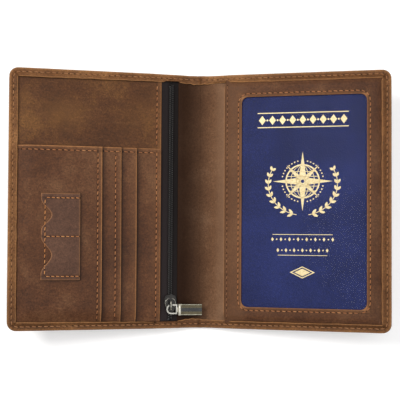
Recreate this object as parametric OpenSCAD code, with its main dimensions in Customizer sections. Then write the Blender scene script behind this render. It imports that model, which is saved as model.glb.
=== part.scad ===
// Travel document organizer: a bifold passport wallet of waxed leather, lying open.
// Each cover is drawn flat (x outward from the spine, z = 0 on the outer leather's
// outside face) and then raised about its crease line by cover_tilt.
// Frame: +X to the passport side, +Y to the top edge, +Z out of the inside face.
// Origin: centre of the spine's outside face, on the surface the wallet rests on.

/* [Overall] */
// Height of the wallet, bottom edge to top edge
height = 143; // [142:0.5:146]
// Flat half width, from the middle of the spine to a cover's free edge
half_open = 106; // [105.5:0.5:108]
// Width of the spine between the two crease lines
spine_w = 11.2; // [11:0.1:12]
// Angle that each cover is raised from the table when the wallet lies open
cover_tilt = 12.5; // [6:0.5:16]
// Radius of the covers' outer corners
corner_r = 5; // [3:0.5:7]

/* [Leather] */
// Thickness of the outer leather
outer_t = 1.2; // [1:0.1:1.3]
// Thickness of the turned-over border after skiving
flap_t = 0.85; // [0.7:0.05:0.9]
// Width of the turned-over border
flap_w = 4.8; // [4:0.2:6]
// Height of the creases above the table
crease_z = 2.1; // [2.1:0.05:2.3]

/* [Card pockets] */
// Top edge of the card block above the middle of the wallet
block_top = 30.4; // [20:0.2:34]
// Opening edge of the front card pocket
front_x = -55.6; // [-60:0.2:-52]
// Opening edge of the middle card pocket
middle_x = -44.9; // [-47:0.1:-43]
// Opening edge of the lower card pocket
lower_x = -36.4; // [-38:0.1:-34]
// Edge of the ticket panel beside the zip
ticket_x = -22.8; // [-24:0.1:-22]
// Left edge of the memory card pocket
sim_x0 = -88.4; // [-92:0.2:-86]
// Right edge of the memory card pocket
sim_x1 = -67.5; // [-70:0.2:-64]
// Top edge of the memory card pocket
sim_y1 = 3.7; // [0:0.2:8]
// Bottom edge of the memory card pocket
sim_y0 = -43.3; // [-48:0.2:-40]

/* [Zip] */
// Middle line of the zip chain
zip_x = -17; // [-17.4:0.1:-16.6]
// Width of the coil chain
chain_w = 2.7; // [2.4:0.1:3]
// Travel of the slider
zip_travel = 105; // [90:1:106]
// Length of the pull bar
pull_len = 12.2; // [10:0.2:12.6]
// Width of the pull bar
pull_w = 6.2; // [5:0.2:6.4]
// Angle that the pull rises from its link to its tip
pull_pitch = 8; // [7:0.5:8.5]

/* [Passport pocket] */
// Free edge of the passport panel, where a passport goes in
panel_x0 = 15.2; // [14.8:0.1:17]
// Left edge of the window
window_x0 = 24.5; // [22:0.5:28]
// Right edge of the window
window_x1 = 93; // [88:0.5:94]
// Bottom edge of the window
window_y0 = -58.7; // [-60:0.2:-54]
// Top edge of the window
window_y1 = 59; // [54:0.2:60]
// Corner radius of the window
window_r = 3.6; // [2:0.2:6]

/* [Passport booklet] */
// Width of the booklet, fold to open edge
booklet_w = 86; // [80:1:86]
// Height of the booklet
booklet_h = 124; // [118:1:124]
// Thickness of the closed booklet
booklet_t = 3; // [2.4:0.1:3]

/* [Hidden] */
$fn = 48;

hy = height / 2;             // half height
px = spine_w / 2;            // distance of each crease from the middle
air = 0.05;                  // gap between layers that lie on each other
fold_gap = 0.2;              // gap between spine and cover pieces at a crease
lap = outer_t;               // thickness of the turned edge

// heights of the left cover's layers
inter_z = outer_t + air;
inter_t = 0.35;
bag_z = inter_z + inter_t + air;
bag_t = 0.15;
shoe_z = bag_z + bag_t + 0.1;         // lower plate of the slider
shoe_t = 0.45;
tape_z = shoe_z + shoe_t + 0.1;
tape_t = 0.4;
coil_z = tape_z + tape_t;
coil_t = 1.1;
plate_z = coil_z + coil_t + 0.2;      // upper plate of the slider
plate_t = 0.6;
ticket_z = tape_z + tape_t + air;
ticket_t = 0.7;
lflap_z = ticket_z + ticket_t + air;
card_t = 0.65;
base_z = ticket_z + ticket_t + 2 * air;
lower_z = base_z + card_t + air;
middle_z = lower_z + card_t + air;
front_z = middle_z + card_t + air;
sim_z = front_z + card_t + air;
sim_t = 0.55;
thread_t = 0.12;
thread_w = 0.8;

// heights of the right cover's layers
lining_z = inter_z + inter_t + air;
lining_t = 0.55;
book_z = lining_z + lining_t + 0.1;
film_z = book_z + booklet_t + 0.1;
film_t = 0.25;
panel_z = film_z + film_t + air;
panel_t = 0.9;
flange_z = lining_z + lining_t + air;
flange_t = 0.7;
rflap_z = flange_z + flange_t + air;

// spine
spine_lining_z = outer_t + 0.1;
spine_lining_t = crease_z - spine_lining_z - 0.05;
sflap_z = crease_z + 0.05;
sflap_t = 0.75;
sflap_x = px - 0.7;          // the spine's turned edge stops here
cflap_x = px + 1.2;          // a cover's turned edge starts here

// slider, link and pull
post_y = -60;                // the post the link hangs on
post_r = 0.55;
slot_w = 0.8;                // gap between the two coils
link_z = plate_z + plate_t + 0.25;
link_t = 0.9;
hook_z = link_z + link_t + 0.4;
hook_t = 0.6;
link_r = 2.75;
link_x = zip_x + 0.3;
link_y = post_y - 0.7;
pull_x = zip_x + 4.5;        // start of the collar
collar_w = 1.4;
pull_y = post_y - 1;

// ---------- frames of the three rigid sides ----------
module on_left() {
  translate([-px, 0, crease_z]) rotate([0, cover_tilt, 0])
    translate([px, 0, -crease_z]) children();
}
module on_right() {
  translate([px, 0, crease_z]) rotate([0, -cover_tilt, 0])
    translate([-px, 0, -crease_z]) children();
}

// ---------- outlines ----------
// rectangle with round corners
module rr(x0, x1, y0, y1, r) {
  translate([x0 + r, y0]) square([x1 - x0 - 2 * r, y1 - y0]);
  translate([x0, y0 + r]) square([x1 - x0, y1 - y0 - 2 * r]);
  for (x = [x0 + r, x1 - r], y = [y0 + r, y1 - r]) translate([x, y]) circle(r);
}
// a left cover's outline drawn in from its three free edges; it ends square at x_in
module region(inset, x_in) {
  r = max(corner_r - inset, 0.5);
  rr(-half_open + inset, -60, -hy + inset, hy - inset, r);
  translate([-70, -hy + inset]) square([70 + x_in, 2 * (hy - inset)]);
}
module slab(z, t) { translate([0, 0, z]) linear_extrude(t) children(); }
// outer leather of a cover, drawn for the left side: plate, turned edge and border
module cover_shell(border_z) {
  slab(0, outer_t) region(0, -px - fold_gap);
  slab(outer_t / 2, border_z + flap_t - outer_t / 2) difference() {
    region(0, -cflap_x);
    region(lap, 5);
  }
  slab(border_z, flap_t) difference() {
    region(0, -cflap_x);
    region(flap_w, 5);
  }
}
// a flat strip of stitches
module seam(x0, x1, y0, y1, z) { translate([x0, y0, z]) cube([x1 - x0, y1 - y0, thread_t]); }
// the row of stitches round a cover's border, drawn for the left side
module border_seam(z) {
  slab(z, thread_t) difference() {
    region(2.0, -cflap_x - 0.4);
    region(2.0 + thread_w, 5);
  }
}

// ---------- spine ----------
module spine_leather() {
  color("sienna") {
    translate([-px, -hy, 0]) cube([spine_w, height, outer_t]);
    for (s = [-1, 1]) {
      translate([-sflap_x, s > 0 ? hy - lap : -hy, outer_t / 2])
        cube([2 * sflap_x, lap, sflap_z + sflap_t - outer_t / 2]);
      translate([-sflap_x, s > 0 ? hy - flap_w : -hy, sflap_z])
        cube([2 * sflap_x, flap_w, sflap_t]);
    }
  }
}
module spine_lining() {
  color("saddlebrown") translate([-px, -hy + lap + 0.1, spine_lining_z])
    cube([spine_w, height - 2 * lap - 0.2, spine_lining_t]);
}
module spine_thread() {
  color("peru") for (s = [-1, 1])
    seam(-sflap_x + 0.1, sflap_x - 0.1, s * (hy - 2.4) - thread_w / 2,
         s * (hy - 2.4) + thread_w / 2, sflap_z + sflap_t + 0.01);
}

// ---------- left cover ----------
module left_cover_leather() { color("sienna") on_left() cover_shell(lflap_z); }
module left_interlining() {
  color("tan") on_left() slab(inter_z, inter_t) region(lap + 0.1, -px - 0.6);
}
module zip_pocket_lining() {
  color("dimgray") on_left() slab(bag_z, bag_t) region(lap + 0.1, -9);
}
module zip_facing() {
  color("saddlebrown") on_left()
    translate([-12.9, -hy + flap_w + 0.8, ticket_z])
      cube([12.9 - px - fold_gap, height - 2 * flap_w - 1.6, 0.6]);
}
module zip_tape_left() {
  color("black") on_left() translate([-30.5, -hy + lap + 0.1, tape_z])
    cube([30.5 + zip_x - slot_w / 2, height - 2 * lap - 0.2, tape_t]);
}
module zip_tape_right() {
  color("black") on_left() translate([zip_x + slot_w / 2, -hy + lap + 0.1, tape_z])
    cube([-zip_x - slot_w / 2 - 9, height - 2 * lap - 0.2, tape_t]);
}
// one side of the chain as the plain envelope of its coil
module coil(side) {
  w = (chain_w - slot_w) / 2;
  translate([side > 0 ? zip_x + slot_w / 2 : zip_x - slot_w / 2 - w, -hy + flap_w + 0.2, coil_z])
    cube([w, height - 2 * flap_w - 0.4, coil_t]);
}
module zip_coil_left() { color("dimgray") on_left() coil(-1); }
module zip_coil_right() { color("dimgray") on_left() coil(1); }
module ticket_panel() {
  color("saddlebrown") on_left() slab(ticket_z, ticket_t) region(lap + 0.2, ticket_x);
}
// one card panel of the block: it reaches from the border to its opening edge x1
module card_panel(x1, z) {
  translate([-half_open + flap_w + 0.2, -hy + flap_w + 0.2, z])
    cube([half_open - flap_w - 0.2 + x1, block_top + hy - flap_w - 0.2, card_t]);
}
module card_panel_base() { color("saddlebrown") on_left() card_panel(ticket_x, base_z); }
module card_panel_lower() { color("saddlebrown") on_left() card_panel(lower_x, lower_z); }
module card_panel_middle() { color("saddlebrown") on_left() card_panel(middle_x, middle_z); }
module card_panel_front() { color("saddlebrown") on_left() card_panel(front_x, front_z); }
// half a wave from 0 at both ends to depth in the middle
function scoop(t, depth) = depth * (1 - cos(360 * t)) / 2;
module sim_pocket() {
  h = sim_y1 - sim_y0;
  y_up = [sim_y1 - 0.07 * h, sim_y1 - 0.43 * h];   // upper thumb notch
  y_dn = [sim_y1 - 0.50 * h, sim_y1 - 0.93 * h];   // lower thumb notch
  n = 16;
  pts = concat(
    [[sim_x1, sim_y0], [sim_x1, sim_y1], [sim_x0, sim_y1]],
    [for (i = [0:n]) [sim_x0 + scoop(i / n, 6.4), y_up[0] + (y_up[1] - y_up[0]) * i / n]],
    [for (i = [0:n]) [sim_x0 + scoop(i / n, 6.4), y_dn[0] + (y_dn[1] - y_dn[0]) * i / n]],
    [[sim_x0, sim_y0]]);
  color("brown") on_left() slab(sim_z, sim_t) polygon(pts);
}
module left_border_thread() { color("peru") on_left() border_seam(lflap_z + flap_t + 0.01); }
module pocket_top_thread() {
  y0 = block_top - 2.3 - thread_w / 2;
  y1 = y0 + thread_w;
  color("peru") on_left() {
    seam(-half_open + flap_w + 0.6, front_x - 0.3, y0, y1, front_z + card_t + 0.01);
    seam(front_x + 0.4, middle_x - 0.3, y0, y1, middle_z + card_t + 0.01);
    seam(middle_x + 0.4, lower_x - 0.3, y0, y1, lower_z + card_t + 0.01);
    seam(lower_x + 0.4, ticket_x - 3.2, y0, y1, base_z + card_t + 0.01);
  }
}
module front_edge_thread() {
  x = front_x - 2.3;
  color("peru") on_left() seam(x - thread_w / 2, x + thread_w / 2, -hy + flap_w + 0.5,
                               block_top - 3.2, front_z + card_t + 0.01);
}
module middle_edge_thread() {
  x = middle_x - 3.2;
  color("peru") on_left() seam(x - thread_w / 2, x + thread_w / 2, -hy + flap_w + 0.5,
                               block_top - 3.2, middle_z + card_t + 0.01);
}
module ticket_edge_thread() {
  x = ticket_x - 2.5;
  color("peru") on_left() {
    seam(x - thread_w / 2, x + thread_w / 2, -hy + flap_w + 0.5, block_top - 0.2,
         base_z + card_t + 0.01);
    seam(x - thread_w / 2, x + thread_w / 2, block_top + 0.4, hy - flap_w - 0.4,
         ticket_z + ticket_t + 0.01);
  }
}
module sim_thread() {
  z = sim_z + sim_t + 0.01;
  color("peru") on_left() {
    for (y = [sim_y1 - 2.4, sim_y1 - 23.4, sim_y0 + 2])
      seam(sim_x0 + 2.6, sim_x1 - 0.6, y - thread_w / 2, y + thread_w / 2, z);
    // the column that holds the notched edge, on the panel between the notches' tabs
    for (c = [[sim_y1 - 16, sim_y1 - 7.6], [sim_y0 + 8.4, sim_y0 + 18]])
      seam(sim_x0 + 1.4, sim_x0 + 2.0, c[0], c[1], front_z + card_t + 0.01);
  }
}

// ---------- zip slider and pull ----------
module slider_outline() {
  // shoulders at the top, a waist and a blunt nose at the bottom
  polygon([[-1.7, -4.7], [1.7, -4.7], [2.5, -3.4], [2.5, -1.2], [3.35, 0.6], [3.35, 2.6],
           [2.6, 4.1], [1.2, 4.7], [-1.2, 4.7], [-2.6, 4.1], [-3.35, 2.6], [-3.35, 0.6],
           [-2.5, -1.2], [-2.5, -3.4]]);
}
module slider_body() {
  color("gray") on_left() translate([zip_x, -57.4, 0]) {
    slab(plate_z, plate_t) slider_outline();
    slab(shoe_z, shoe_t) slider_outline();
    // the wedge between the tapes that joins the two plates
    translate([-0.25, -2.2, shoe_z]) cube([0.5, 4.4, plate_z + plate_t - shoe_z]);
    // side walls that hold the coils together
    for (s = [-1, 1]) translate([s * 2.15 - 0.3, -3.6, tape_z + tape_t + 0.2])
      cube([0.6, 6.2, plate_z - tape_z - tape_t]);
    // post and overhanging hook that hold the link
    translate([0, post_y + 57.4, plate_z]) cylinder(r = post_r, h = hook_z - plate_z + hook_t / 2);
    translate([-0.75, post_y + 57.4 - 0.75, hook_z]) cube([1.5, 4.85, hook_t]);
    translate([-0.75, 1.9, plate_z]) cube([1.5, 2.2, plate_t + 0.15]);
  }
}
module pull_link() {
  color("silver") on_left() translate([0, 0, link_z]) linear_extrude(link_t) difference() {
    union() {
      translate([link_x, link_y]) circle(link_r);
      translate([link_x, link_y - link_r]) square([pull_x - 0.8 - link_x, 2 * link_r]);
    }
    translate([link_x, link_y]) circle(link_r - 0.8);
    translate([link_x, link_y - link_r + 0.8]) square([pull_x - 1.5 - link_x, 2 * link_r - 1.6]);
  }
}
// the pull rises from the link's straight side
module on_pull() {
  translate([pull_x - 0.8, pull_y, link_z]) rotate([0, -pull_pitch, 0]) children();
}
module pull_collar() {
  color("gainsboro") on_left() on_pull() {
    translate([0.75, -pull_w / 2, -0.05]) cube([collar_w, pull_w, 1.4]);
    translate([0.12, -1.3, 0.15]) cube([0.9, 2.6, 0.5]);
  }
}
module pull_bar() {
  x0 = 0.8 + collar_w;
  color("darkgray") on_left() on_pull() difference() {
    translate([x0, -pull_w / 2, 0]) cube([pull_len, pull_w, 1.25]);
    translate([x0 + 0.5, -1.05, 1.0]) cube([pull_len, 2.1, 1]);
  }
}

// ---------- right cover ----------
module right_cover_leather() { color("sienna") on_right() mirror([1, 0, 0]) cover_shell(rflap_z); }
module right_interlining() {
  color("tan") on_right() mirror([1, 0, 0]) slab(inter_z, inter_t) region(lap + 0.1, -px - 0.6);
}
module right_lining() {
  color("saddlebrown") on_right() mirror([1, 0, 0])
    slab(lining_z, lining_t) region(lap + 0.1, -px - fold_gap);
}
// a window frame that stands over the booklet, with a flange sewn under the border
module passport_panel() {
  hx = half_open - flap_w;
  color("saddlebrown") on_right() difference() {
    union() {
      slab(flange_z, flange_t) difference() {
        mirror([1, 0, 0]) region(lap + 0.2, -panel_x0);
        translate([0, -hy + flap_w + 1]) square([hx - 0.75, height - 2 * flap_w - 2]);
      }
      slab(flange_z, panel_z + panel_t - flange_z) difference() {
        translate([panel_x0, -hy + flap_w + 0.2]) square([hx - 0.2 - panel_x0, height - 2 * flap_w - 0.4]);
        translate([0, -hy + flap_w + 1]) square([hx - 0.75, height - 2 * flap_w - 2]);
      }
      slab(panel_z, panel_t)
        translate([panel_x0, -hy + flap_w + 0.2]) square([hx - 0.2 - panel_x0, height - 2 * flap_w - 0.4]);
    }
    slab(panel_z - 1, panel_t + 2) rr(window_x0, window_x1, window_y0, window_y1, window_r);
  }
}
module window_film() {
  color([0.9, 0.92, 0.95, 0.35]) on_right() slab(film_z, film_t)
    rr(window_x0 - 4.5, window_x1 + 4.5, window_y0 - 4, window_y1 + 4, window_r);
}
module window_thread() {
  color("peru") on_right() slab(panel_z + panel_t + 0.01, thread_t) difference() {
    rr(window_x0 - 2.2, window_x1 + 2.2, window_y0 - 2.2, window_y1 + 2.2, window_r + 1.6);
    rr(window_x0 - 1.4, window_x1 + 1.4, window_y0 - 1.4, window_y1 + 1.4, window_r + 0.8);
  }
}
module panel_edge_thread() {
  color("peru") on_right() seam(panel_x0 + 0.7, panel_x0 + 1.4, -hy + flap_w + 0.6, hy - flap_w - 0.6,
                                panel_z + panel_t + 0.01);
}
module right_border_thread() {
  color("peru") on_right() mirror([1, 0, 0]) border_seam(rflap_z + flap_t + 0.01);
}

// ---------- passport booklet, a separate thing kept in the pocket ----------
book_x1 = half_open - flap_w - 0.8;       // open edge of the booklet
book_x0 = book_x1 - booklet_w;            // fold of the booklet
cover_t = 0.45;
module booklet_cover() {
  color("midnightblue") on_right() {
    slab(book_z, cover_t) rr(book_x0, book_x1, -booklet_h / 2, booklet_h / 2, 3);
    slab(book_z + booklet_t - cover_t, cover_t - 0.1) rr(book_x0, book_x1, -booklet_h / 2, booklet_h / 2, 3);
    translate([book_x0, -booklet_h / 2 + 3, book_z]) cube([0.6, booklet_h - 6, booklet_t - 0.1]);
  }
}
module booklet_pages() {
  color("ivory") on_right() slab(book_z + cover_t + air, booklet_t - 2 * cover_t - 2 * air)
    rr(book_x0 + 0.7, book_x1 - 0.6, -booklet_h / 2 + 0.6, booklet_h / 2 - 0.6, 2.4);
}
// a plain compass emblem with two rules, stamped on the booklet's front
module booklet_foil() {
  cx = (window_x0 + window_x1) / 2;
  color("gold") on_right() slab(book_z + booklet_t - 0.09, 0.05) {
    translate([cx, 4]) {
      difference() { circle(16.5); circle(15.7); }
      difference() { circle(12.5); circle(11.9); }
      for (a = [0:45:315]) rotate(a) polygon([[2.4, -1], [a % 90 == 0 ? 11.2 : 8, 0], [2.4, 1]]);
      difference() { circle(2.2); circle(1.3); }
    }
    translate([cx - 22, 36]) square([44, 1]);
    translate([cx - 16, 32]) square([32, 0.6]);
    translate([cx - 18, -30]) square([36, 1]);
  }
}

spine_leather();
spine_lining();
spine_thread();
left_cover_leather();
left_interlining();
zip_pocket_lining();
zip_facing();
zip_tape_left();
zip_tape_right();
zip_coil_left();
zip_coil_right();
ticket_panel();
card_panel_base();
card_panel_lower();
card_panel_middle();
card_panel_front();
sim_pocket();
left_border_thread();
pocket_top_thread();
front_edge_thread();
middle_edge_thread();
ticket_edge_thread();
sim_thread();
slider_body();
pull_link();
pull_collar();
pull_bar();
right_cover_leather();
right_interlining();
right_lining();
passport_panel();
window_film();
window_thread();
panel_edge_thread();
right_border_thread();
booklet_cover();
booklet_pages();
booklet_foil();
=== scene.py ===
import math

import bpy
import numpy as np
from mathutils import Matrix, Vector


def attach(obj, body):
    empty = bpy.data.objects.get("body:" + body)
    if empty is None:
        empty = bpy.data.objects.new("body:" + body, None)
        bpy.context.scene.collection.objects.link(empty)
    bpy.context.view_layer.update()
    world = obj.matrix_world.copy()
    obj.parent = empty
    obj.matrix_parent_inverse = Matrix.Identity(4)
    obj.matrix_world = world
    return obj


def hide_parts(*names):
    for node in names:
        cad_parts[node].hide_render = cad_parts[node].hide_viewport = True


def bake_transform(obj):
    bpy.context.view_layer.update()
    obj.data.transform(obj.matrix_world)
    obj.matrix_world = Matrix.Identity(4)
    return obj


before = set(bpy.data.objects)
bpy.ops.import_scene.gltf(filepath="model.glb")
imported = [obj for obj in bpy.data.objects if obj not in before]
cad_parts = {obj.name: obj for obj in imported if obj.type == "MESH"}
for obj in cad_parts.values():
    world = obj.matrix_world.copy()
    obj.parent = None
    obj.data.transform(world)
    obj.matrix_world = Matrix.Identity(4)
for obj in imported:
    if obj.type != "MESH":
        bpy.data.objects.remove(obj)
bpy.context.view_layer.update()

# ------------------------------------------------------------------ frame
MM = 0.001
TILT = math.radians(12.5)
PX, CZ = 5.6, 2.1          # crease line: distance from the middle and height, mm
BEND = 11.2                # the leather bends between the middle and here
HX, HY = 106.0, 71.5       # flat half width and half height of the open wallet


def bend(P):
    """Flat wallet coordinates in mm to the row frame at rest, in metres."""
    P = np.asarray(P, float).reshape(-1, 3)
    x, y, z = P.T
    x = x + (y + 71.5) / 143 * (0.4 * sstep((x - 24) / 20) - 0.7 * sstep((-x - 24) / 20))   # the covers are a little out of square
    side = np.where(x < 0, -1.0, 1.0)
    t = np.clip(np.abs(x) / BEND, 0, 1)
    a = t * t * (3 - 2 * t) * TILT
    du, dz = np.abs(x) - PX, z - CZ
    return np.stack([side * (PX + du * np.cos(a) - dz * np.sin(a)), y,
                     CZ + du * np.sin(a) + dz * np.cos(a)], 1) * MM


def left_rigid(P):
    """Flat coordinates of a stiff piece on the left cover to the rest place, in mm: turned, never bent."""
    x, y, z = np.asarray(P, float).reshape(-1, 3).T
    du, dz = -x - PX, z - CZ
    return np.stack([-(PX + du * math.cos(TILT) - dz * math.sin(TILT)), y,
                     CZ + du * math.sin(TILT) + dz * math.cos(TILT)], 1)


def flat_point(x, y, z):
    return Vector(bend([[x, y, z]])[0])


def sstep(t):
    t = np.clip(t, 0, 1)
    return t * t * (3 - 2 * t)


def wob(x, y, k=1.0, s=0.0):
    """A smooth, seedless ripple between about -1 and 1."""
    x, y = np.asarray(x, float) * k + s, np.asarray(y, float) * k - s
    return (np.sin(x * 0.21 + 1.3 + 0.9 * np.sin(y * 0.13)) * np.sin(y * 0.17 + 0.4)
            + 0.6 * np.sin(x * 0.37 - y * 0.23 + 2.1) + 0.4 * np.sin(y * 0.61 + x * 0.11)) / 1.6


# ------------------------------------------------------------------ meshes
def make(name, V, F, mat, wear_and_highlight=None, tone=None, body=None, blend=None, replaces=(), slot=None,
         smooth=True, flat_faces=(), rco=None, world=False):
    """A mesh piece from flat coordinates, with its flat place kept for the materials."""
    V = np.asarray(V, float).reshape(-1, 3)
    me = bpy.data.meshes.new(name)
    me.from_pydata((V * MM if world else bend(V)).tolist(), [], [list(f) for f in F])
    me.validate(clean_customdata=False)
    at = me.attributes.new("rco", "FLOAT_VECTOR", "POINT")
    at.data.foreach_set("vector", ((V if rco is None else np.asarray(rco)) * 0.1).astype(np.float32).ravel())
    for nm, val in (("wear_and_highlight", wear_and_highlight), ("tone", tone)):
        a = me.attributes.new(nm, "FLOAT", "POINT")
        v = np.zeros(len(V)) if val is None else np.broadcast_to(np.asarray(val, float), (len(V),))
        # painted shading from top to bottom: the tone grows towards the bottom of the wallet and dips a little below 0
        # near the top, more on the outer leather
        if nm == "tone":
            v = v + (0.17 if mat == M_OUT else 0.06) * np.clip(-V[:, 1] / 70.0, -0.3, 1.0)
        a.data.foreach_set("value", v.astype(np.float32))
    if smooth:
        me.polygons.foreach_set("use_smooth", [True] * len(me.polygons))
        if blend:
            middle = np.abs(V[:, 0]) < 1e-6
            for f in me.polygons:
                if all(middle[v] for v in f.vertices):
                    f.use_smooth = False
    me.update()
    o = bpy.data.objects.new(name, me)
    bpy.context.scene.collection.objects.link(o)
    me.materials.append(mat)
    if blend:
        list(blend[0])
        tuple(blend[1])
        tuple(blend[2])
        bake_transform(o)
    elif body:
        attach(o, body)
    if replaces:
        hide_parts(*replaces)
    return o


LEFT_BLEND = (("spine", "left_cover"), tuple(flat_point(0, 0, 1)), tuple(flat_point(-BEND, 0, 1)))
RIGHT_BLEND = (("spine", "right_cover"), tuple(flat_point(0, 0, 1)), tuple(flat_point(BEND, 0, 1)))


def with_rows(p, rows):
    """Adds grid lines beside each row of stitching, so that its channel has a real shape."""
    extra = [r + d for r in rows for d in (-0.95, -0.5, -0.2, 0.0, 0.2, 0.5, 0.95) if p[0] + 0.3 < r + d < p[-1] - 0.3]
    keep_ = [v for v in p if all(abs(v - e) > 0.14 for e in extra) or v in (p[0], p[-1])]
    return np.array(sorted(keep_ + extra))


def with_steps(p, steps):
    """Adds grid lines just past each step, where the painted shadow lies."""
    extra = [s + d for s in steps for d in (-0.3, -0.05, 0.12, 0.4, 0.8, 1.4, 2.2, 3.2) if p[0] + 0.2 < s + d < p[-1] - 0.2]
    keep_ = [v for v in p if all(abs(v - e) > 0.12 for e in extra) or v in (p[0], p[-1])]
    return np.array(sorted(keep_ + extra))


# Painted shade along each row of stitching, darkest in its channel.
def stitch_channel_shade(v, rows, k=0.34, w=0.55):
    return sum((k * np.exp(-((v - r) / w) ** 2) for r in rows), 0 * v)


def spaced(a, b, cell, edge=(0, 0.25, 0.6, 1.2, 2.2, 3.6), ends=(True, True)):
    """Positions from a to b, closer together at the ends."""
    d = b - a
    e = [v for v in edge if v < d / 2 - cell / 2]
    lo = a + (e[-1] if ends[0] else 0)
    hi = b - (e[-1] if ends[1] else 0)
    n = max(1, int(round((hi - lo) / cell)))
    mid = np.linspace(lo, hi, n + 1)
    out = ([a + v for v in e[:-1]] if ends[0] else []) + list(mid) + ([b - v for v in reversed(e[:-1])] if ends[1] else [])
    return np.array(out)


def round_corners(X, Y, x0, x1, y0, y1, radii):
    """Moves a rectangle's grid points so that its corners are quarter circles. radii: tl, tr, br, bl."""
    X, Y = X.copy(), Y.copy()
    for (cx, sx), (cy, sy), r in (((x0, -1), (y1, 1), radii[0]), ((x1, 1), (y1, 1), radii[1]),
                                  ((x1, 1), (y0, -1), radii[2]), ((x0, -1), (y0, -1), radii[3])):
        if r <= 0:
            continue
        ox, oy = cx - sx * r, cy - sy * r
        p, q = (X - ox) * sx / r, (Y - oy) * sy / r
        m = (p > 1e-9) & (q > 1e-9)
        n = np.where(m, np.hypot(p, q), 1)
        f = np.where(m, np.maximum(p, q) / n, 1)
        X = np.where(m, ox + sx * r * p * f, X)
        Y = np.where(m, oy + sy * r * q * f, Y)
    return X, Y


def grid_faces(nx, ny, off=0, flip=False):
    F = []
    for i in range(nx - 1):
        for j in range(ny - 1):
            a, b, c, d = off + i * ny + j, off + (i + 1) * ny + j, off + (i + 1) * ny + j + 1, off + i * ny + j + 1
            F.append((a, d, c, b) if flip else (a, b, c, d))
    return F


def ring_index(nx, ny):
    """Boundary of a grid, once round, anticlockwise seen from above."""
    return ([i * ny for i in range(nx)] + [(nx - 1) * ny + j for j in range(1, ny)]
            + [i * ny + ny - 1 for i in range(nx - 2, -1, -1)] + [j for j in range(ny - 2, 0, -1)])


def panel(name, x0, x1, y0, y1, top, t, mat, radii=(0, 0, 0, 0), cell=2.2, xfun=None, wear_and_highlight_fn=None,
          tonefn=None, bulge=0.1, xr=(), yr=(), xl=(), yl=(), **kw):
    """A sheet of leather as a closed solid: a top that follows top(x, y), a rounded edge and an underside."""
    xs, ys = with_rows(spaced(x0, x1, cell), xr), with_rows(spaced(y0, y1, cell), yr)
    xs, ys = with_steps(xs, xl), with_steps(ys, yl)
    X, Y = np.meshgrid(xs, ys, indexing="ij")
    X, Y = round_corners(X, Y, x0, x1, y0, y1, radii)
    if xfun is not None:
        X = xfun(X, Y)
    nx, ny = X.shape
    Z = top(X, Y)
    drop = np.zeros_like(Z)
    drop[0, :] = drop[-1, :] = drop[:, 0] = drop[:, -1] = 0.16
    n = nx * ny
    V = [np.stack([X.ravel(), Y.ravel(), (Z - drop).ravel()], 1),
         np.stack([X.ravel(), Y.ravel(), (Z - t + 0.5 * drop).ravel()], 1)]
    ring = ring_index(nx, ny)
    R = V[0][ring]
    nxt, prv = np.roll(R, -1, 0), np.roll(R, 1, 0)
    tang = nxt - prv
    tang /= np.maximum(np.linalg.norm(tang[:, :2], axis=1, keepdims=True), 1e-9)
    out = np.stack([tang[:, 1], -tang[:, 0], 0 * tang[:, 0]], 1)
    mid = R + out * bulge
    mid[:, 2] = (V[0][ring][:, 2] + V[1][ring][:, 2]) / 2
    V.append(mid)
    V = np.concatenate(V)
    F = grid_faces(nx, ny) + grid_faces(nx, ny, n, True)
    m = len(ring)
    for k in range(m):
        a, b = ring[k], ring[(k + 1) % m]
        c, d = 2 * n + k, 2 * n + (k + 1) % m
        F += [(a, c, d, b), (c, a + n, b + n, d)]
    wear_and_highlight = np.zeros(len(V))
    tone = np.zeros(len(V))
    if wear_and_highlight_fn is not None:
        wear_and_highlight = wear_and_highlight_fn(V[:, 0], V[:, 1])
    if tonefn is not None:
        tone = tonefn(V[:, 0], V[:, 1])
    tone = tone + stitch_channel_shade(V[:, 0], xr) + stitch_channel_shade(V[:, 1], yr)
    return make(name, V, F, mat, wear_and_highlight=wear_and_highlight, tone=tone, **kw)


# ------------------------------------------------------------------ materials
def lin(r, g, b):
    """8-bit screen colour to the linear one that a shader takes."""
    f = lambda c: (c / 255 / 12.92) if c / 255 <= 0.04045 else ((c / 255 + 0.055) / 1.055) ** 2.4
    return (f(r), f(g), f(b), 1)


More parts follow.
